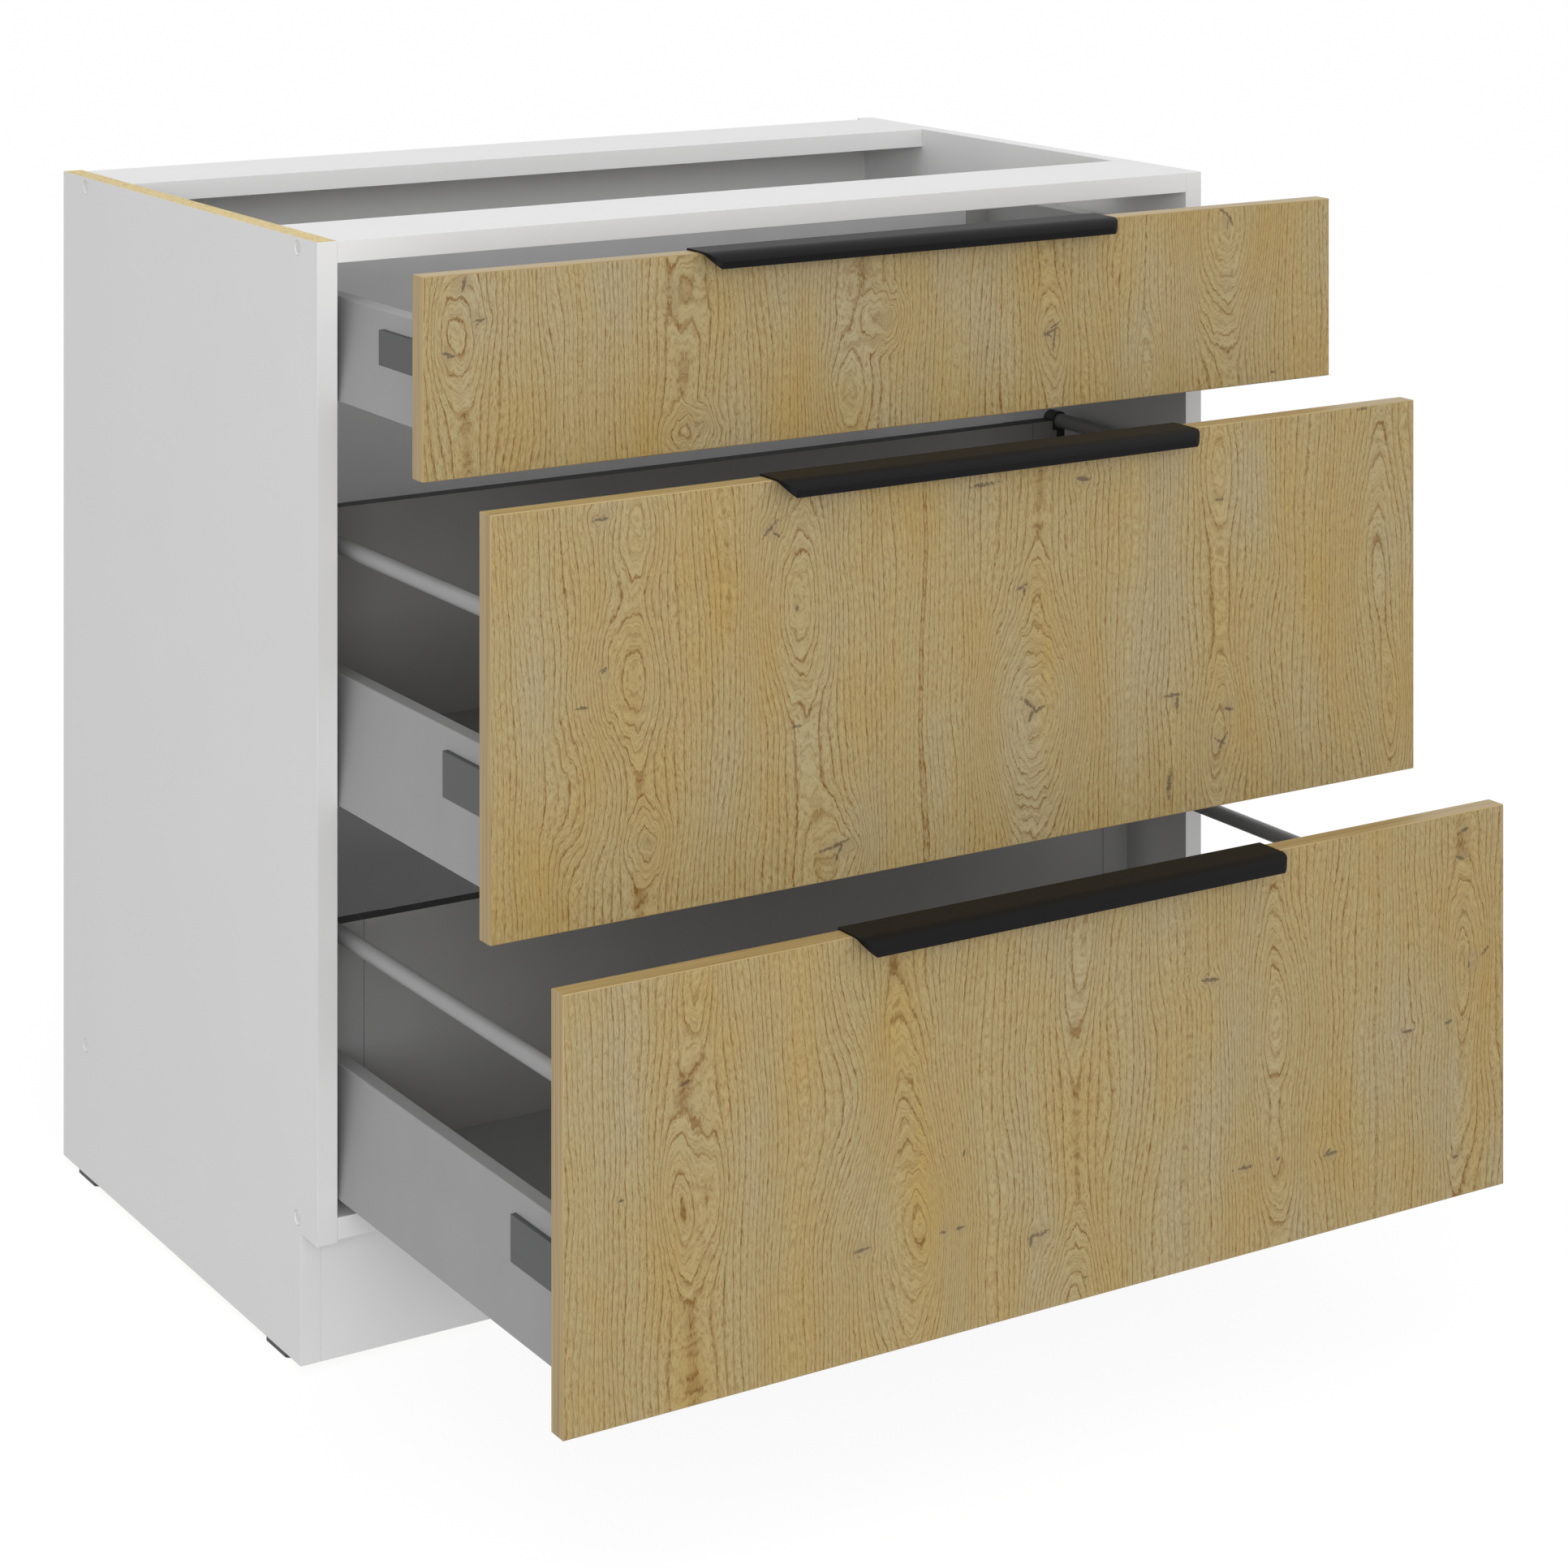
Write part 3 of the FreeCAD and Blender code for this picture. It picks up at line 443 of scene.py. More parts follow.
def raw_chipboard():
    """Raw sawn edge of chipboard: pale yellow chips, darker where coarse
    core chips leave gaps."""
    material, tree = new_material("sawn_chipboard", 0.85)
    place = object_place(tree, scale=(1, 0.6, 1))
    chips = add_node(tree, "TexVoronoi", {"Vector": place, "Scale": grain(2.5)})
    fibre = add_node(tree, "TexNoise", {
        "Vector": place, "Scale": grain(1.2), "Detail": 4})
    coarse = add_node(tree, "Math", (chips.outputs["Color"], 0.35),
                      operation="MULTIPLY")
    blend = add_node(tree, "Math", (fibre, 0.7, coarse),
                     operation="MULTIPLY_ADD")
    tone = add_node(tree, "ValToRGB", (blend,), (
        (0.25, linear(0xBBA36A)), (0.42, linear(0xD5BF87)),
        (0.75, linear(0xE2D1A0))))
    surface(tree, tone.outputs[0], blend, 0.4, 0.3)
    return material


def even_surface(name, colour, roughness, grain_size, strength, mottle=0.04,
                 cloud_size=40, cloud_detail=3, **shader):
    """A laminated, moulded or coated surface: one colour that varies a
    little over tens of millimetres, and a fine even relief."""
    material, tree = new_material(name, roughness, **shader)
    place = object_place(tree)
    cloud = add_node(tree, "TexNoise", {
        "Vector": place, "Scale": grain(cloud_size), "Detail": cloud_detail})
    tone = add_node(tree, "ValToRGB", (cloud,), (
        (0.3, tuple(c * (1 - mottle) for c in colour)), (0.7, colour)))
    relief = add_node(tree, "TexNoise", {
        "Vector": place, "Scale": grain(grain_size), "Detail": 2})
    surface(tree, tone.outputs[0], relief, strength)
    return material


def brown_hardboard():
    """The bare rear of wet-pressed hardboard: brown, with short pale and dark
    fibres in all directions and the faint print of the press screen."""
    material, tree = new_material("pressed_brown_hardboard", 0.75)
    place = object_place(tree)
    fibres = add_node(tree, "TexNoise", {
        "Vector": place, "Scale": grain(3), "Detail": 6, "Roughness": 0.75,
        "Distortion": 2.5})
    tone = add_node(tree, "ValToRGB", (fibres,), (
        (0.36, linear(0x5F3F26)), (0.5, linear(0x86603D)),
        (0.66, linear(0xB08A60))))
    # the press screen's threads are about 1 mm apart, drawn at 1.6 mm
    screen = add_node(tree, "TexVoronoi", {
        "Vector": place, "Scale": grain(1.6), "Randomness": 0.25},
        distance="CHEBYCHEV")
    surface(tree, tone.outputs[0], screen.outputs["Distance"], 0.25, 0.2)
    return material


def oak_edging():
    """ABS edging, printed to match: smooth and satin, with straight grain
    along the band, and trimmed with a small radius."""
    material, tree = new_material("printed_oak_abs_edging", 0.42)
    # long along the band in X and in Z, and fine across it in Y
    place = object_place(tree, scale=(1 / 90, 1, 1 / 90))
    streaks = add_node(tree, "TexNoise", {
        "Vector": place, "Scale": grain(1.8), "Detail": 3, "Roughness": 0.6})
    tone = add_node(tree, "ValToRGB", (streaks,), (
        (0.32, linear(0x92794B)), (0.5, linear(0xAA9260)),
        (0.7, linear(0xB59D6D))))
    surface(tree, tone.outputs[0], streaks, 0.1)
    return material


def galvanised_strip():
    """Steel strip, galvanised before it was rolled: bright grey metal with
    faint frosted spangles a few millimetres wide, and rolling lines."""
    material, tree = new_material("rolled_galvanised_steel", 0.38, Metallic=1.0)
    spangle = add_node(tree, "TexVoronoi", {
        "Vector": object_place(tree), "Scale": grain(5)})
    tone = add_node(tree, "MapRange", (
        spangle.outputs["Color"], 0, 1, 0.52, 0.66))
    colour = add_node(tree, "CombineColor", (tone, tone, tone))
    rolling = add_node(tree, "TexNoise", {
        "Vector": object_place(tree, scale=(1, 1 / 60, 1)),
        "Scale": grain(0.9), "Detail": 3})
    surface(tree, colour.outputs[0], rolling, 0.12)
    return material


def zinc_plate():
    """Bright zinc plating with blue passivation: a cold clear metal whose
    tint drifts from bluish to faintly yellow."""
    material, tree = new_material("plated_blue_zinc", 0.28, Metallic=1.0)
    drift = add_node(tree, "TexNoise", {
        "Vector": object_place(tree), "Scale": grain(4), "Detail": 2})
    tone = add_node(tree, "ValToRGB", (drift,), (
        (0.35, linear(0xB4BAC4)), (0.65, linear(0xC8C6BC))))
    surface(tree, tone.outputs[0])
    return material


# The decor's figure on each front, in millimetres across from its middle and
# up from its lower edge. An axis is where the upright lines mirror: across,
# and half the width of its plain strip. A heart is a nest of arches: across,
# up, half its width, half its height, and how deep its rings go. A knot is
# across, up, half its width and half its height. A crack in a knot is across,
# up, half its length, half its width and its tilt in degrees.
OAK_AXES = {
    "top": ((-364, 20), (-192, 20), (-40, 24), (128, 22), (296, 26)),
    "middle": ((-288, 24), (-152, 22), (42, 24), (208, 22), (368, 26)),
    "bottom": ((-304, 24), (-140, 24), (8, 28), (184, 26), (360, 24)),
}
OAK_HEARTS = {
    "top": ((-370, 96, 30, 60, 14), (-182, 14, 30, 26, 16),
            (-24, 80, 26, 30, 14), (-62, 30, 40, 60, 14),
            (-190, 115, 20, 50, -8), (128, 54, 34, 50, 12),
            (296, 128, 60, 120, 36), (220, 20, 26, 60, -8)),
    "middle": ((-287, 262, 34, 60, 10), (-298, 160, 46, 70, 16),
               (-330, 90, 40, 70, -16), (-284, 49, 24, 34, 16),
               (-160, 196, 56, 96, 22), (-130, 16, 36, 60, 14),
               (40, 92, 70, 110, 38), (44, 184, 24, 36, 8),
               (208, 56, 34, 76, 16), (212, 250, 30, 70, 8),
               (250, 110, 40, 90, -12), (366, 150, 50, 150, 20),
               (372, 40, 44, 90, 18)),
    "bottom": ((-304, 129, 30, 70, 16), (-302, 285, 28, 80, 10),
               (-129, 84, 26, 60, 14), (-134, 60, 64, 210, 34),
               (-180, 168, 44, 90, -14), (8, 262, 24, 130, 12),
               (-4, -14, 60, 90, 26), (184, 160, 54, 120, 24),
               (185, 58, 36, 60, 14), (360, 178, 50, 80, 18),
               (354, 96, 40, 110, 12)),
}
OAK_KNOTS = {
    "top": ((-364, 134, 5, 8), (-374, 84, 6, 5), (-355, 107, 6, 5),
            (-198, 111, 4, 14), (-176, 16, 8, 5), (-24, 80, 7, 8),
            (128, 56, 7, 8), (296, 126, 5, 7)),
    "middle": ((-315, 270, 8, 6), (-313, 170, 5, 4), (-182, 249, 8, 7),
               (-158, 194, 3, 4), (38, 96, 6, 9), (30, 184, 6, 4),
               (217, 72, 7, 5), (210, 48, 7, 9), (165, 87, 3, 9),
               (160, 20, 3, 14), (208, 228, 4, 4), (84, 256, 7, 5),
               (-130, 22, 10, 7), (-284, 49, 6, 6)),
    "bottom": ((-167, 73, 8, 6), (-112, 71, 3, 5), (-94, 72, 5, 4),
               (-32, 52, 9, 9), (-354, 144, 3, 3), (115, 200, 8, 4),
               (152, 62, 8, 4), (235, 57, 7, 4), (302, 132, 6, 4),
               (339, 131, 4, 4), (372, 172, 9, 10), (364, 270, 4, 4),
               (360, 250, 5, 4), (358, 30, 4, 4)),
}
OAK_CRACKS = {
    "top": ((-365, 133, 8, 1.1, 85), (-354, 107, 5, 1.3, 10),
            (-355, 105, 4, 1.1, 60), (-375, 86, 5, 1.3, -15),
            (-371, 84, 4, 1.1, 10), (126, 58, 9, 1.3, 18),
            (133, 63, 8, 1, 20), (129, 52, 9, 1, 75),
            (121, 56, 5, 1.2, -20), (294, 136, 7, 1.4, -35),
            (300, 130, 5, 1.6, -60), (297, 126, 4, 1.1, 80),
            (347, 8, 4, 1.1, -10)),
    "middle": ((-315, 271, 7, 1.2, 5), (-312, 170, 3, 1.6, 20),
               (-331, 147, 5, 1.2, 0), (-183, 250, 9, 1.8, 40),
               (-178, 246, 5, 1.2, -30), (-158, 193, 3, 1.5, 60),
               (-161, 111, 5, 1.2, 5), (-136, 24, 12, 1.4, 15),
               (-133, 20, 9, 1.2, 65), (-2, 261, 9, 1.6, 5),
               (85, 256, 9, 1.6, -8), (29, 184, 6, 1.4, 20),
               (31, 182, 5, 1.3, 100), (36, 99, 9, 1.6, -45),
               (42, 94, 8, 1.5, 20), (37, 90, 7, 1.3, 75),
               (165, 88, 6, 1.6, 0), (167, 82, 8, 1.5, 90),
               (160, 22, 12, 2.2, 86), (210, 227, 4, 1.4, 0),
               (216, 71, 6, 1.3, -10), (214, 47, 9, 1.2, 60),
               (211, 48, 8, 1, -25), (345, 281, 6, 1.5, 0)),
    "bottom": ((-167, 73, 6, 1.4, 5), (-114, 71, 3, 1.1, 0),
               (-95, 71, 5, 1.3, 0), (-90, 121, 3, 1, 60),
               (-34, 53, 7, 1.8, 10), (-38, 50, 5, 1.5, 80),
               (-28, 53, 5, 1.3, 20), (-305, 210, 3, 1.3, 30),
               (-354, 144, 3, 1, 0), (115, 201, 9, 1.5, -5),
               (152, 62, 8, 1.5, 0), (136, 62, 2, 1, 0),
               (236, 56, 7, 1.3, 5), (233, 58, 4, 1.1, 40),
               (187, 62, 3, 1.1, 45), (303, 131, 5, 1.4, 0),
               (340, 131, 5, 1.5, 10), (386, 177, 6, 1.6, 30),
               (367, 170, 3, 1.4, 80), (364, 270, 4, 1.3, 10),
               (359, 250, 5, 1.4, -20), (358, 30, 4, 1.2, 0),
               (15, 15, 2, 0.9, 0)),
}


def oak_decor(drawer):
    """Melamine paper printed with oak, pressed with pores that follow the
    print: pale gold ground, dark broken late-wood lines that run upright,
    nest in arches and part around knots, and a matt satin surface."""
    look = bpy.context.scene.cabinet_finish
    material, tree = new_material(f"printed_oak_decor_{drawer}", 0.5)
    node = partial(add_node, tree)
    low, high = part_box(f"{drawer}_drawer_front")

    # millimetres across the front and up it, with no depth
    object_mm = node("Mapping", {
        "Vector": node("TexCoord").outputs["Object"],
        "Location": (-(low.x + high.x) / 2 / MM, 0, -low.z / MM),
        "Scale": (1 / MM, 0, 1 / MM)})

    def field(width, height, detail, seed):
        """Noise from -0.5 to 0.5 in flecks of this size in millimetres."""
        place = node("Mapping", {
            "Vector": object_mm, "Location": (seed, seed * 1.7, 0),
            "Scale": (1 / width, 0, 1 / height)})
        noise = node("TexNoise", {
            "Vector": place, "Scale": 1, "Detail": detail})
        return node("Math", (noise, 0.5), operation="SUBTRACT")

    def within(where, x, z, width, height, tilt=0):
        """A place seen from an ellipse, whose rim is then at 1."""
        return node("Mapping", {
            "Vector": where, "Location": (x, 0, z),
            "Rotation": (0, math.radians(-tilt), 0),
            "Scale": (width, 1, height)}, vector_type="TEXTURE")

    def squared(local):
        """The square of the distance from the ellipse's middle."""
        return node("VectorMath", (local, local),
                    operation="DOT_PRODUCT").outputs["Value"]

    def least(values, operation="MINIMUM", *blend):
        """The least of some values, blended where the operation does."""
        return reduce(lambda a, b: node("Math", (a, b, *blend),
                                        operation=operation), values)

    seed = 10 * (1 + DRAWERS.index(drawer))
    place = node("SeparateXYZ", (object_mm,))
    across, up = place.outputs["X"], place.outputs["Z"]
    # the lines sway over the board's height, waver, and tremble
    for width, height, detail, swing in (
            (80, 240, 1, 44), (30, 110, 1, 12), (7, 40, 1, 2.0)):
        across = node("Math", (
            field(width, height, detail, seed), swing, across),
            operation="MULTIPLY_ADD")
        seed += 3.3
    crack_place = node("CombineXYZ", (across, 0, up))
    up = node("Math", (field(9, 26, 3, seed), 22, up),
              operation="MULTIPLY_ADD")

    # each knot pushes the lines aside, as a stone parts a stream
    warped = node("CombineXYZ", (across, 0, up))
    pushed = across
    knots = []
    for x, z, width, height in OAK_KNOTS[drawer]:
        local = within(warped, x, z, width, height)
        knots.append(squared(local))
        push = node("Math", (
            node("SeparateXYZ", (local,)),
            node("Math", (knots[-1], 0.35), operation="ADD")),
            operation="DIVIDE")
        pushed = node("Math", (push, -width * 0.9, pushed),
                      operation="MULTIPLY_ADD")

    # upright lines mirror at each axis, and a heart sinks a nest of rings
    mirrors = []
    for x, plain_strip in OAK_AXES[drawer]:
        off = node("Math", (pushed, x), operation="SUBTRACT")
        away = node("Math", (off, off, plain_strip ** 2),
                    operation="MULTIPLY_ADD")
        mirrors.append(node("Math", (away,), operation="SQRT"))
    distance = least(mirrors, "SMOOTH_MIN", 8)
    for x, z, width, height, depth in OAK_HEARTS[drawer]:
        dome = node("TexGradient", (within(warped, x, z, width, height),),
                    gradient_type="SPHERICAL").outputs["Fac"]
        sink = node("MapRange", (dome, 0, 1, 0, depth),
                    interpolation_type="SMOOTHSTEP")
        distance = node("Math", (distance, sink), operation="SUBTRACT")
    distance = node("Math", (field(1.1, 5, 2, seed + 2), 1.2, distance),
                    operation="MULTIPLY_ADD")

    # late wood: a line for each 3.9 mm year, dark at once and fading slowly
    years = node("Math", (distance, 3.9), operation="DIVIDE")
    chance = node("TexWhiteNoise", {
        "W": node("Math", (years,), operation="FLOOR")},
        noise_dimensions="1D").outputs["Value"]
    line = node("ValToRGB", (node("Math", (years,), operation="FRACT"),), (
        (0.0, (0.2,) * 3), (0.04, (1, 1, 1)), (0.12, (0.8,) * 3),
        (0.26, (0.22,) * 3), (0.75, (0.02,) * 3), (1.0, (0.2,) * 3)))
    strength = node("Math", (chance, 0.65, 0.42), operation="MULTIPLY_ADD")

    def streaks(x, length, detail):
        """Noise stretched along the lines, this long in millimetres."""
        along = node("Math", (up, 1 / length), operation="MULTIPLY")
        return node("TexNoise", {
            "Vector": node("CombineXYZ", (x, 0, along)), "Scale": 1,
            "Detail": detail, "Roughness": 0.7})

    broken = node("MapRange", (streaks(years, 14, 3), 0.32, 0.62, 0.4, 1))
    late = node("Math", (
        node("Math", (line, strength), operation="MULTIPLY"), broken),
        operation="MULTIPLY")
    # pores: short dashes that follow the lines
    dashes = streaks(node("Math", (distance, 1 / 0.6), operation="MULTIPLY"),
                     6, 2)
    pores = node("MapRange", (dashes, 0.46, 0.64, 0, 0.5))
    dark = node("Math", (late, pores), operation="ADD", use_clamp=True)

    # broad drifts from golden to greyish wood
    drift = node("MapRange", (field(55, 150, 3, seed + 7), -0.22, 0.22))
    ground = node("Mix", {0: drift, 6: (*look.oak_gold, 1),
                          7: (*look.oak_grey, 1)}, data_type="RGBA")
    wood = node("Mix", {0: dark, 6: ground.outputs[2],
                        7: (*look.oak_line, 1)}, data_type="RGBA")

    # knots have rings of their own, a little greyer than the wood around
    radius = node("Math", (least(knots),), operation="SQRT")
    rings = node("Math", (radius, 2.6), operation="MULTIPLY")
    ring = node("ValToRGB", (node("Math", (rings,), operation="FRACT"),), (
        (0.0, (0.9,) * 3), (0.3, (0.1,) * 3), (0.5, (0.6,) * 3),
        (0.8, (0.05,) * 3), (1.0, (0.5,) * 3)))
    inside = node("MapRange", (radius, 1.4, 0.6, 0, 0.45),
                  interpolation_type="SMOOTHSTEP")
    eye = node("Mix", {0: ring, 6: (*linear(0xA08E68), 1),
                       7: (*linear(0x7D6843), 1)}, data_type="RGBA")
    wood = node("Mix", {0: inside, 6: wood.outputs[2], 7: eye.outputs[2]},
                data_type="RGBA")
    # and dark cracks with ragged ends
    crack = least([squared(within(crack_place, x, z, length, width, tilt))
                   for x, z, length, width, tilt in OAK_CRACKS[drawer]])
    ragged = node("Math", (field(2, 2, 3, seed + 11), 4, crack),
                  operation="MULTIPLY_ADD")
    split = node("MapRange", (ragged, 1.3, 0.1, 0, 0.7),
                 interpolation_type="SMOOTHSTEP")
    wood = node("Mix", {0: split, 6: wood.outputs[2],
                        7: (*linear(0x40311C), 1)}, data_type="RGBA")
    surface(tree, wood.outputs[2], dark, 0.15, 0.15, invert=True)
    return material


# --------------------------------------------------------------- operators

def cap_centres():
    """Places along the side and up it, of the caps over the screws."""
    low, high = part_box("screw_caps")
    radius = bpy.context.scene.cabinet_sizes.cap / 2
    return [(y, z) for y in (low.y + radius, high.y - radius)
            for z in (low.z + radius, high.z - radius)]


class CABINET_OT_boards(Operator):
    """Builds the white boards of the carcass and its back"""

    bl_idname = "cabinet.boards"
    bl_label = "Carcass boards"

    def execute(self, context):
        sizes = context.scene.cabinet_sizes
        melamine, chipboard = white_melamine(), raw_chipboard()
        for side, sign in SIDES.items():
            board = self.side(f"side_board_{side}", f"side_panel_{side}", sign,
                              sizes)
            finish(board, (melamine, chipboard), "carcass",
                   f"side_panel_{side}")
            low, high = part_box(f"side_panel_{side}")
            paint(board, lambda centre, normal: (
                normal.y > FACING and centre.y > high.y - MM
                or normal.z < -FACING and centre.z < low.z + MM
                or side == "left" and normal.z > FACING
                and centre.z > high.z - MM))
        for node in ("bottom_panel", "top_rail_front", "top_rail_rear",
                     "toe_kick"):
            board = soften(block(f"{node}_board", *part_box(node)),
                           sizes.board_edge)
            finish(board, (melamine, chipboard), "carcass",
                   node)
            bare = Vector((0, 0, -1) if node == "toe_kick" else (0, 1, 0))
            paint(board, lambda centre, normal: normal.dot(bare) > FACING)
        sheet = soften(block("back_sheet", *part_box("back_panel")),
                       sizes.sheet_edge)
        finish(sheet, (melamine, brown_hardboard()), "carcass",
               "back_panel")
        paint(sheet, lambda centre, normal: normal.y > -FACING)
        return {"FINISHED"}

    def side(self, name, node, sign, sizes):
        """A side with its toe notch, its groove and its screws' recesses."""
        low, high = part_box(node)
        board = block(name, low, high)
        over = Vector((MM, MM, MM))
        toe_corner = Vector((high.x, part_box("toe_kick")[0].y, sizes.toe_height))
        carve(board, block("notch", low - over, toe_corner + Vector((MM, 0, 0))))
        rounded(board, sizes.board_edge)
        back_low, back_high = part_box("back_panel")
        play = over * 0.1
        carve(board, block("groove", back_low - play, back_high + play))
        outer = low.x if sign < 0 else high.x
        for y, z in cap_centres():
            start = outer - MM if sign < 0 else outer - sizes.cap_recess
            carve(board, rod("recess", (start, y, z), sizes.cap_recess + MM,
                             sizes.cap / 2 + 0.2 * MM, "X"))
        return shaded(board)


class CABINET_OT_caps(Operator):
    """Builds the dished caps over the connecting screws"""

    bl_idname = "cabinet.caps"
    bl_label = "Screw caps"

    def execute(self, context):
        sizes = context.scene.cabinet_sizes
        rows = []
        for side, sign in SIDES.items():
            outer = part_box("screw_caps")[sign > 0].x
            places = [(outer, y, z) for y, z in cap_centres()]
            rows.append(spread(dished_cap(), f"caps_{side}", places,
                               (sign, 0, 0)))
        caps = join(rows, "dished_screw_caps")
        # moulded polythene pressed over the screw: white, smooth, satin
        white = even_surface("moulded_white_polythene", linear(0xE4E4E3), 0.35,
                             0.8, 0.06)
        finish(caps, (white,), "carcass", "screw_caps")
        angles = soften(merged_copy("toe_angles", "toe_kick_angles"),
                        sizes.pull_edge)
        finish(angles, (white,), "carcass", "toe_kick_angles")
        return {"FINISHED"}


class CABINET_OT_fronts(Operator):
    """Builds the oak fronts with their edging"""

    bl_idname = "cabinet.fronts"
    bl_label = "Drawer fronts"

    def execute(self, context):
        sizes = context.scene.cabinet_sizes
        edging = oak_edging()
        for drawer in DRAWERS:
            node = f"{drawer}_drawer_front"
            front = block(f"{drawer}_oak_front", *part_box(node))
            bpy.ops.object.mode_set(mode="EDIT")
            pick(front, "FACE", lambda face: abs(face.normal.y) > FACING)
            bpy.ops.mesh.inset(thickness=sizes.edging, depth=0)
            bpy.ops.object.mode_set(mode="OBJECT")
            finish(front, (oak_decor(drawer), edging), f"{drawer}_drawer",
                   node)
            low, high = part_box(node)
            middle = (low + high) / 2
            paint(front, lambda centre, normal: (
                abs(normal.y) < FACING
                or abs(centre.x - middle.x) > sizes.edging
                or abs(centre.z - middle.z) > sizes.edging))
            soften(front, sizes.front_edge, segments=3)
        return {"FINISHED"}


class CABINET_OT_pulls(Operator):
    """Builds the black edge pulls and their screws"""

    bl_idname = "cabinet.pulls"
    bl_label = "Edge pulls"

    def execute(self, context):
        sizes = context.scene.cabinet_sizes
        # extruded aluminium, powder-coated black: satin, with fine grain
        black = even_surface("coated_black_aluminium",
                             tuple(context.scene.cabinet_finish.pull), 0.5,
                             0.6, 0.08, Specular_IOR_Level=0.1)
        zinc = zinc_plate()
        for drawer in DRAWERS:
            node = f"{drawer}_drawer_handle"
            pull = soften(merged_copy(f"{drawer}_edge_pull", node),
                          sizes.pull_edge, segments=3)
            finish(pull, (black,), f"{drawer}_drawer", node)
            low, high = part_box(node)
            places = [(x, high.y, low.z + sizes.screw_head * 1.4)
                      for x in (low.x * 0.85, 0, high.x * 0.85)]
            screws(f"{drawer}_pull_screws", places, (0, 1, 0),
                   f"{drawer}_drawer", zinc)
        return {"FINISHED"}


class CABINET_OT_drawers(Operator):
    """Builds the drawers' steel sides, boards, caps and rods"""

    bl_idname = "cabinet.drawers"
    bl_label = "Drawer boxes"

    def execute(self, context):
        sizes = context.scene.cabinet_sizes
        look = context.scene.cabinet_finish
        # steel sheet, powder-coated pale grey: satin with faint orange peel
        steel = even_surface("powder_coated_steel", tuple(look.steel), 0.45,
                             1.5, 0.08)
        # the same coat in the boards' grey, on the brackets of the backs
        dark_steel = even_surface("powder_coated_dark_steel",
                                  tuple(look.grey_board), 0.45, 1.5, 0.08)
        # melamine paper on chipboard: even grey with a fine pearl texture
        board = even_surface("pressed_grey_melamine", tuple(look.grey_board),
                             0.5, 1.2, 0.06)
        pale = even_surface("pressed_pale_grey_melamine",
                            tuple(look.pale_board), 0.5, 1.2, 0.06)
        # black paper edging on the tops of the backs, smooth and satin; this
        # black on these tops and on the brackets' tops is also painted shade,
        # where little light reaches them
        edging = even_surface("black_edging_and_painted_shade", linear(0x363636), 0.5, 1,
                              0.05)
        # moulded ABS with a fine spark-eroded grain
        grey = even_surface("moulded_grey_abs", linear(0x494A4B), 0.5, 0.7, 0.1)
        black = even_surface("moulded_black_nylon", linear(0x232425), 0.45,
                             0.8, 0.1)

        def edging_and_shade_top(centre, normal):
            return normal.z > 0.7      # the top and its rounded edges

        for drawer in DRAWERS:
            body = f"{drawer}_drawer"
            deep = drawer != "top"
            for part in ("floor", "back"):
                node = f"{drawer}_drawer_{part}"
                plank = soften(block(f"{drawer}_grey_{part}", *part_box(node)),
                               sizes.board_edge)
                pale_back = part == "back" and not deep
                finish(plank, (pale if pale_back else board, edging), body,
                       node)
                # the deep backs' tops take the black: their edging band, and
                # painted shade on these shaded tops
                if part == "back" and deep:
                    paint(plank, edging_and_shade_top)
            for tail, material, slot in (
                    ("drawer_side_left", steel, "grey_steel"),
                    ("drawer_side_right", steel, "grey_steel"),
                    ("side_caps", grey, "grey_plastic")):
                node = f"{drawer}_{tail}"
                piece = merged_copy(node + "_look", node)
                finish(soften(piece, sizes.sheet_edge), (material,), body,
                       node)
            node = f"{drawer}_rear_brackets"
            plates = soften(merged_copy(node + "_look", node), sizes.sheet_edge)
            finish(plates, (dark_steel if deep else steel, edging), body,
                   node)
            # the deep drawers' brackets get the black on their tops as painted
            # shade
            if deep:
                paint(plates, edging_and_shade_top)
                self.rods(drawer, body, steel, black, sizes)
        return {"FINISHED"}

    def rods(self, drawer, body, steel, black, sizes):
        """The gallery rods over a deep drawer's sides, and their sockets."""
        for tail, material, slot in (
                ("gallery_rods", steel, "grey_aluminium"),
                ("rod_sockets", black, "black_plastic")):
            node = f"{drawer}_{tail}"
            piece = merged_copy(node + "_look", node)
            finish(soften(piece, sizes.sheet_edge * 2), (material,), body,
                   node)


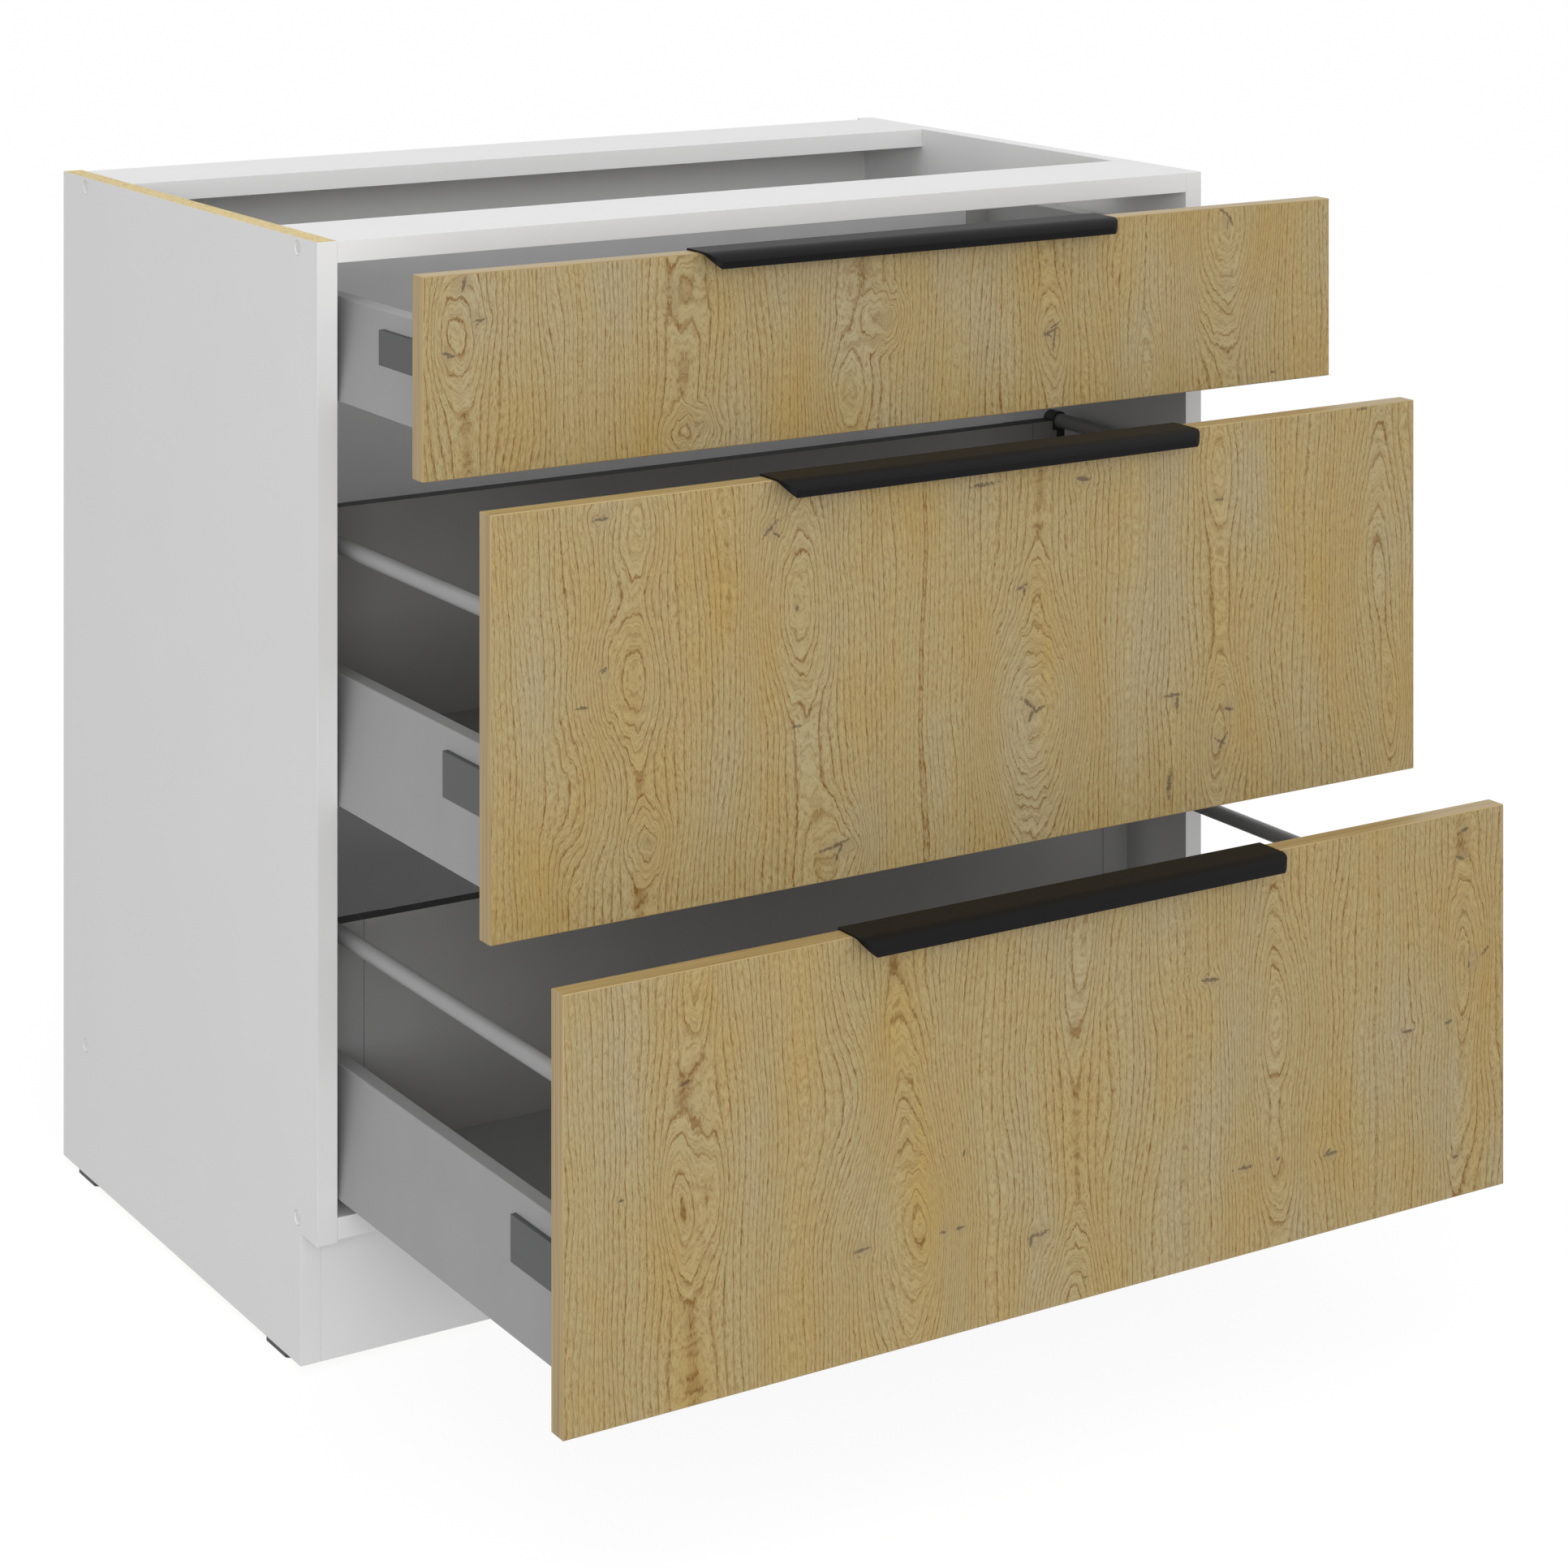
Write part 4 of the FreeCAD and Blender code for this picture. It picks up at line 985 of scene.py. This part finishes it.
class CABINET_OT_fittings(Operator):
    """Dresses the runners and glides, and drives the small screws"""

    bl_idname = "cabinet.fittings"
    bl_label = "Runners and screws"

    def execute(self, context):
        sizes = context.scene.cabinet_sizes
        strip, zinc = galvanised_strip(), zinc_plate()
        # moulded polypropylene, nailed under the sides: black and satin
        glide = even_surface("moulded_black_polypropylene", linear(0x26272A),
                             0.5, 0.8, 0.1)
        dress(glide, "floor_glides")
        dress(zinc, "connector_screws")
        for drawer in DRAWERS:
            dress(strip, f"{drawer}_cabinet_rails", f"{drawer}_drawer_rails",
                  f"{drawer}_middle_rail_left", f"{drawer}_middle_rail_right",
                  f"{drawer}_front_brackets")
            self.rail_screws(drawer, zinc, sizes)
            self.bracket_screws(drawer, zinc, sizes)
        self.carcass_screws(zinc, sizes)
        return {"FINISHED"}

    def rail_screws(self, drawer, zinc, sizes):
        """Three screws through each cabinet rail's flange into the side."""
        low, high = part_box(f"{drawer}_cabinet_rails")
        end = sizes.rail_screw
        for side, sign in SIDES.items():
            x = sign * (high.x - sizes.strip)
            places = [(x, y, low.z + sizes.screw_head * 0.9) for y in (
                low.y + end, (low.y + high.y) / 2, high.y - end)]
            screws(f"{drawer}_rail_screws_{side}", places, (-sign, 0, 0),
                   "carcass", zinc)

    def bracket_screws(self, drawer, zinc, sizes):
        """Two screws through each rear bracket's tab into the back."""
        low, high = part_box(f"{drawer}_rear_brackets")
        back_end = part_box(f"{drawer}_drawer_back")[1].x
        end = sizes.rail_screw
        places = [(sign * (back_end - sizes.screw_head * 1.5), high.y, z)
                  for sign in SIDES.values() for z in (low.z + end, high.z - end)]
        screws(f"{drawer}_bracket_screws", places, (0, 1, 0),
               f"{drawer}_drawer", zinc)

    def carcass_screws(self, zinc, sizes):
        """The screws of the toe kick's angles and along the back's foot."""
        low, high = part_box("toe_kick_angles")
        middle = (low.z + high.z) / 2
        reach = (high.y - low.y) * 0.6
        for side, sign in SIDES.items():
            for name, x, y, facing in (
                    ("kick", high.x - reach, low.y + sizes.angle, (0, 1, 0)),
                    ("side", high.x - sizes.angle, low.y + reach,
                     (-sign, 0, 0))):
                screws(f"toe_angle_{name}_screw_{side}",
                       [(sign * x, y, middle)], facing, "carcass", zinc)
        low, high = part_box("back_panel")
        foot_low, foot_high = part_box("bottom_panel")
        count, row = 7, 0.9        # the row's share of the back's width
        places = [(low.x * row + (high.x - low.x) * row * step / (count - 1),
                   high.y, (foot_low.z + foot_high.z) / 2)
                  for step in range(count)]
        screws("back_foot_screws", places, (0, 1, 0), "carcass", zinc)


class CABINET_OT_stage(Operator):
    """Sets the floor, the lamps, the dome and the camera"""

    bl_idname = "cabinet.stage"
    bl_label = "Floor, light and camera"

    def execute(self, context):
        scene = context.scene
        scene.view_settings.view_transform = "Standard"
        self.floor()
        self.dome(scene)
        self.lamps(scene)
        self.camera(scene)
        return {"FINISHED"}

    def floor(self):
        deselect()
        bpy.ops.mesh.primitive_circle_add(
            vertices=96, radius=14, fill_type="NGON")
        floor = settled("studio_floor")
        material = bpy.data.materials.new("pale_studio_floor")
        material.use_nodes = True
        tree = material.node_tree
        tree.nodes.clear()
        # what is seen of the floor is a white glow and a little of its own
        # paper, so that the cabinet's shadow stays, and stays faint
        paper = add_node(tree, "BsdfDiffuse", {
            "Color": (0.12, 0.12, 0.12, 1)})
        glow = add_node(tree, "Emission", {"Strength": 0.91})
        seen_floor = add_node(tree, "AddShader", (paper, glow))
        # what it sends back to the cabinet is even, and has no shadow
        lit_floor = add_node(tree, "Emission", {"Strength": 0.32})
        shown = add_node(tree, "MixShader", (
            self.seen(tree), lit_floor, seen_floor))
        add_node(tree, "OutputMaterial", (shown,))
        floor.data.materials.append(material)

    def seen(self, tree):
        """1 where the camera, a reflection or a view through glass looks."""
        path = add_node(tree, "LightPath")
        mirrored = add_node(tree, "Math", (
            path.outputs["Is Glossy Ray"],
            path.outputs["Is Transmission Ray"]), operation="MAXIMUM")
        return add_node(tree, "Math", (
            path.outputs["Is Camera Ray"], mirrored), operation="MAXIMUM")

    def dome(self, scene):
        world = scene.world or bpy.data.worlds.new("Studio dome")
        scene.world = world
        world.use_nodes = True
        tree = world.node_tree
        tree.nodes.clear()
        power = add_node(tree, "Mix", {
            0: self.seen(tree), 2: scene.cabinet_studio.dome, 3: 1.0},
            data_type="FLOAT")
        background = add_node(tree, "Background", {
            "Color": (1, 1, 1, 1), "Strength": power})
        add_node(tree, "OutputWorld", (background,))

    def lamps(self, scene):
        studio = scene.cabinet_studio
        for name, place, size, power in (
                ("ceiling_lamp", (-0.3, -0.6, 3.2), 3.0, studio.ceiling),
                ("front_lamp", (-1.6, -3.5, 1.3), 2.0, studio.front),
                ("left_lamp", (-2.6, -2.8, 1.0), 2.0, studio.left),
                ("right_lamp", (1.6, -3.4, 1.5), 2.0, studio.right)):
            bpy.ops.object.light_add(type="AREA", location=place)
            lamp = bpy.context.active_object
            lamp.name = name
            lamp.data.size = size
            lamp.data.energy = power
            aim = CABINET_MIDDLE - Vector(place)
            lamp.rotation_euler = aim.to_track_quat("-Z", "Y").to_euler()

    def camera(self, scene):
        """The photograph's camera looks level, with its lens dropped: upright
        edges stay upright. The drop is a shear of the camera's mount."""
        place = Vector((-1.53112, -2.51672, 1.19433))
        yaw = math.radians(31.787)
        focal, horizon = 4622.04, -345.16      # pixels of the frame
        drop = (horizon - FRAME_WIDTH / 2) / focal
        stretch = math.hypot(1, drop)
        ahead = Vector((math.sin(yaw), math.cos(yaw), 0))
        right = Vector((math.cos(yaw), -math.sin(yaw), 0))
        up = Vector((0, 0, 1))
        back = -(ahead + up * drop) / stretch
        data = bpy.data.cameras.new("photo_camera")
        camera = bpy.data.objects.new("photo_camera", data)
        mount = bpy.data.objects.new("camera_mount", None)
        scene.collection.objects.link(camera)
        scene.collection.objects.link(mount)
        camera.parent = mount
        lens_axes = Matrix((right, up, back)).transposed().to_4x4()
        camera.matrix_parent_inverse = Matrix.Translation(place) @ lens_axes
        data.lens = data.sensor_width * focal * stretch / FRAME_WIDTH
        data.clip_start, data.clip_end = 0.1, 60
        scene.camera = camera


class CABINET_PT_panel(Panel):
    """Lists the cabinet's operators and settings"""

    bl_idname = "CABINET_PT_panel"
    bl_label = "Base cabinet"
    bl_space_type = "VIEW_3D"
    bl_region_type = "UI"
    bl_category = "Cabinet"

    def draw(self, context):
        for operator in STEPS:
            self.layout.operator(operator.bl_idname)
        for name, settings in SETTINGS.items():
            box = self.layout.box()
            for key in settings.__annotations__:
                box.prop(getattr(context.scene, name), key)


SETTINGS = {"cabinet_sizes": CabinetSizes, "cabinet_finish": CabinetFinish,
            "cabinet_studio": CabinetStudio}
STEPS = (CABINET_OT_boards, CABINET_OT_caps, CABINET_OT_fronts,
         CABINET_OT_pulls, CABINET_OT_drawers, CABINET_OT_fittings,
         CABINET_OT_stage)
CLASSES = (*SETTINGS.values(), *STEPS, CABINET_PT_panel)


def register():
    for cls in CLASSES:
        bpy.utils.register_class(cls)
    for name, settings in SETTINGS.items():
        setattr(bpy.types.Scene, name, PointerProperty(type=settings))


def unregister():
    for name in SETTINGS:
        delattr(bpy.types.Scene, name)
    for cls in reversed(CLASSES):
        bpy.utils.unregister_class(cls)


def main():
    register()
    for operator in STEPS:
        group, name = operator.bl_idname.split(".")
        getattr(getattr(bpy.ops, group), name)()


if __name__ == "__main__":
    main()
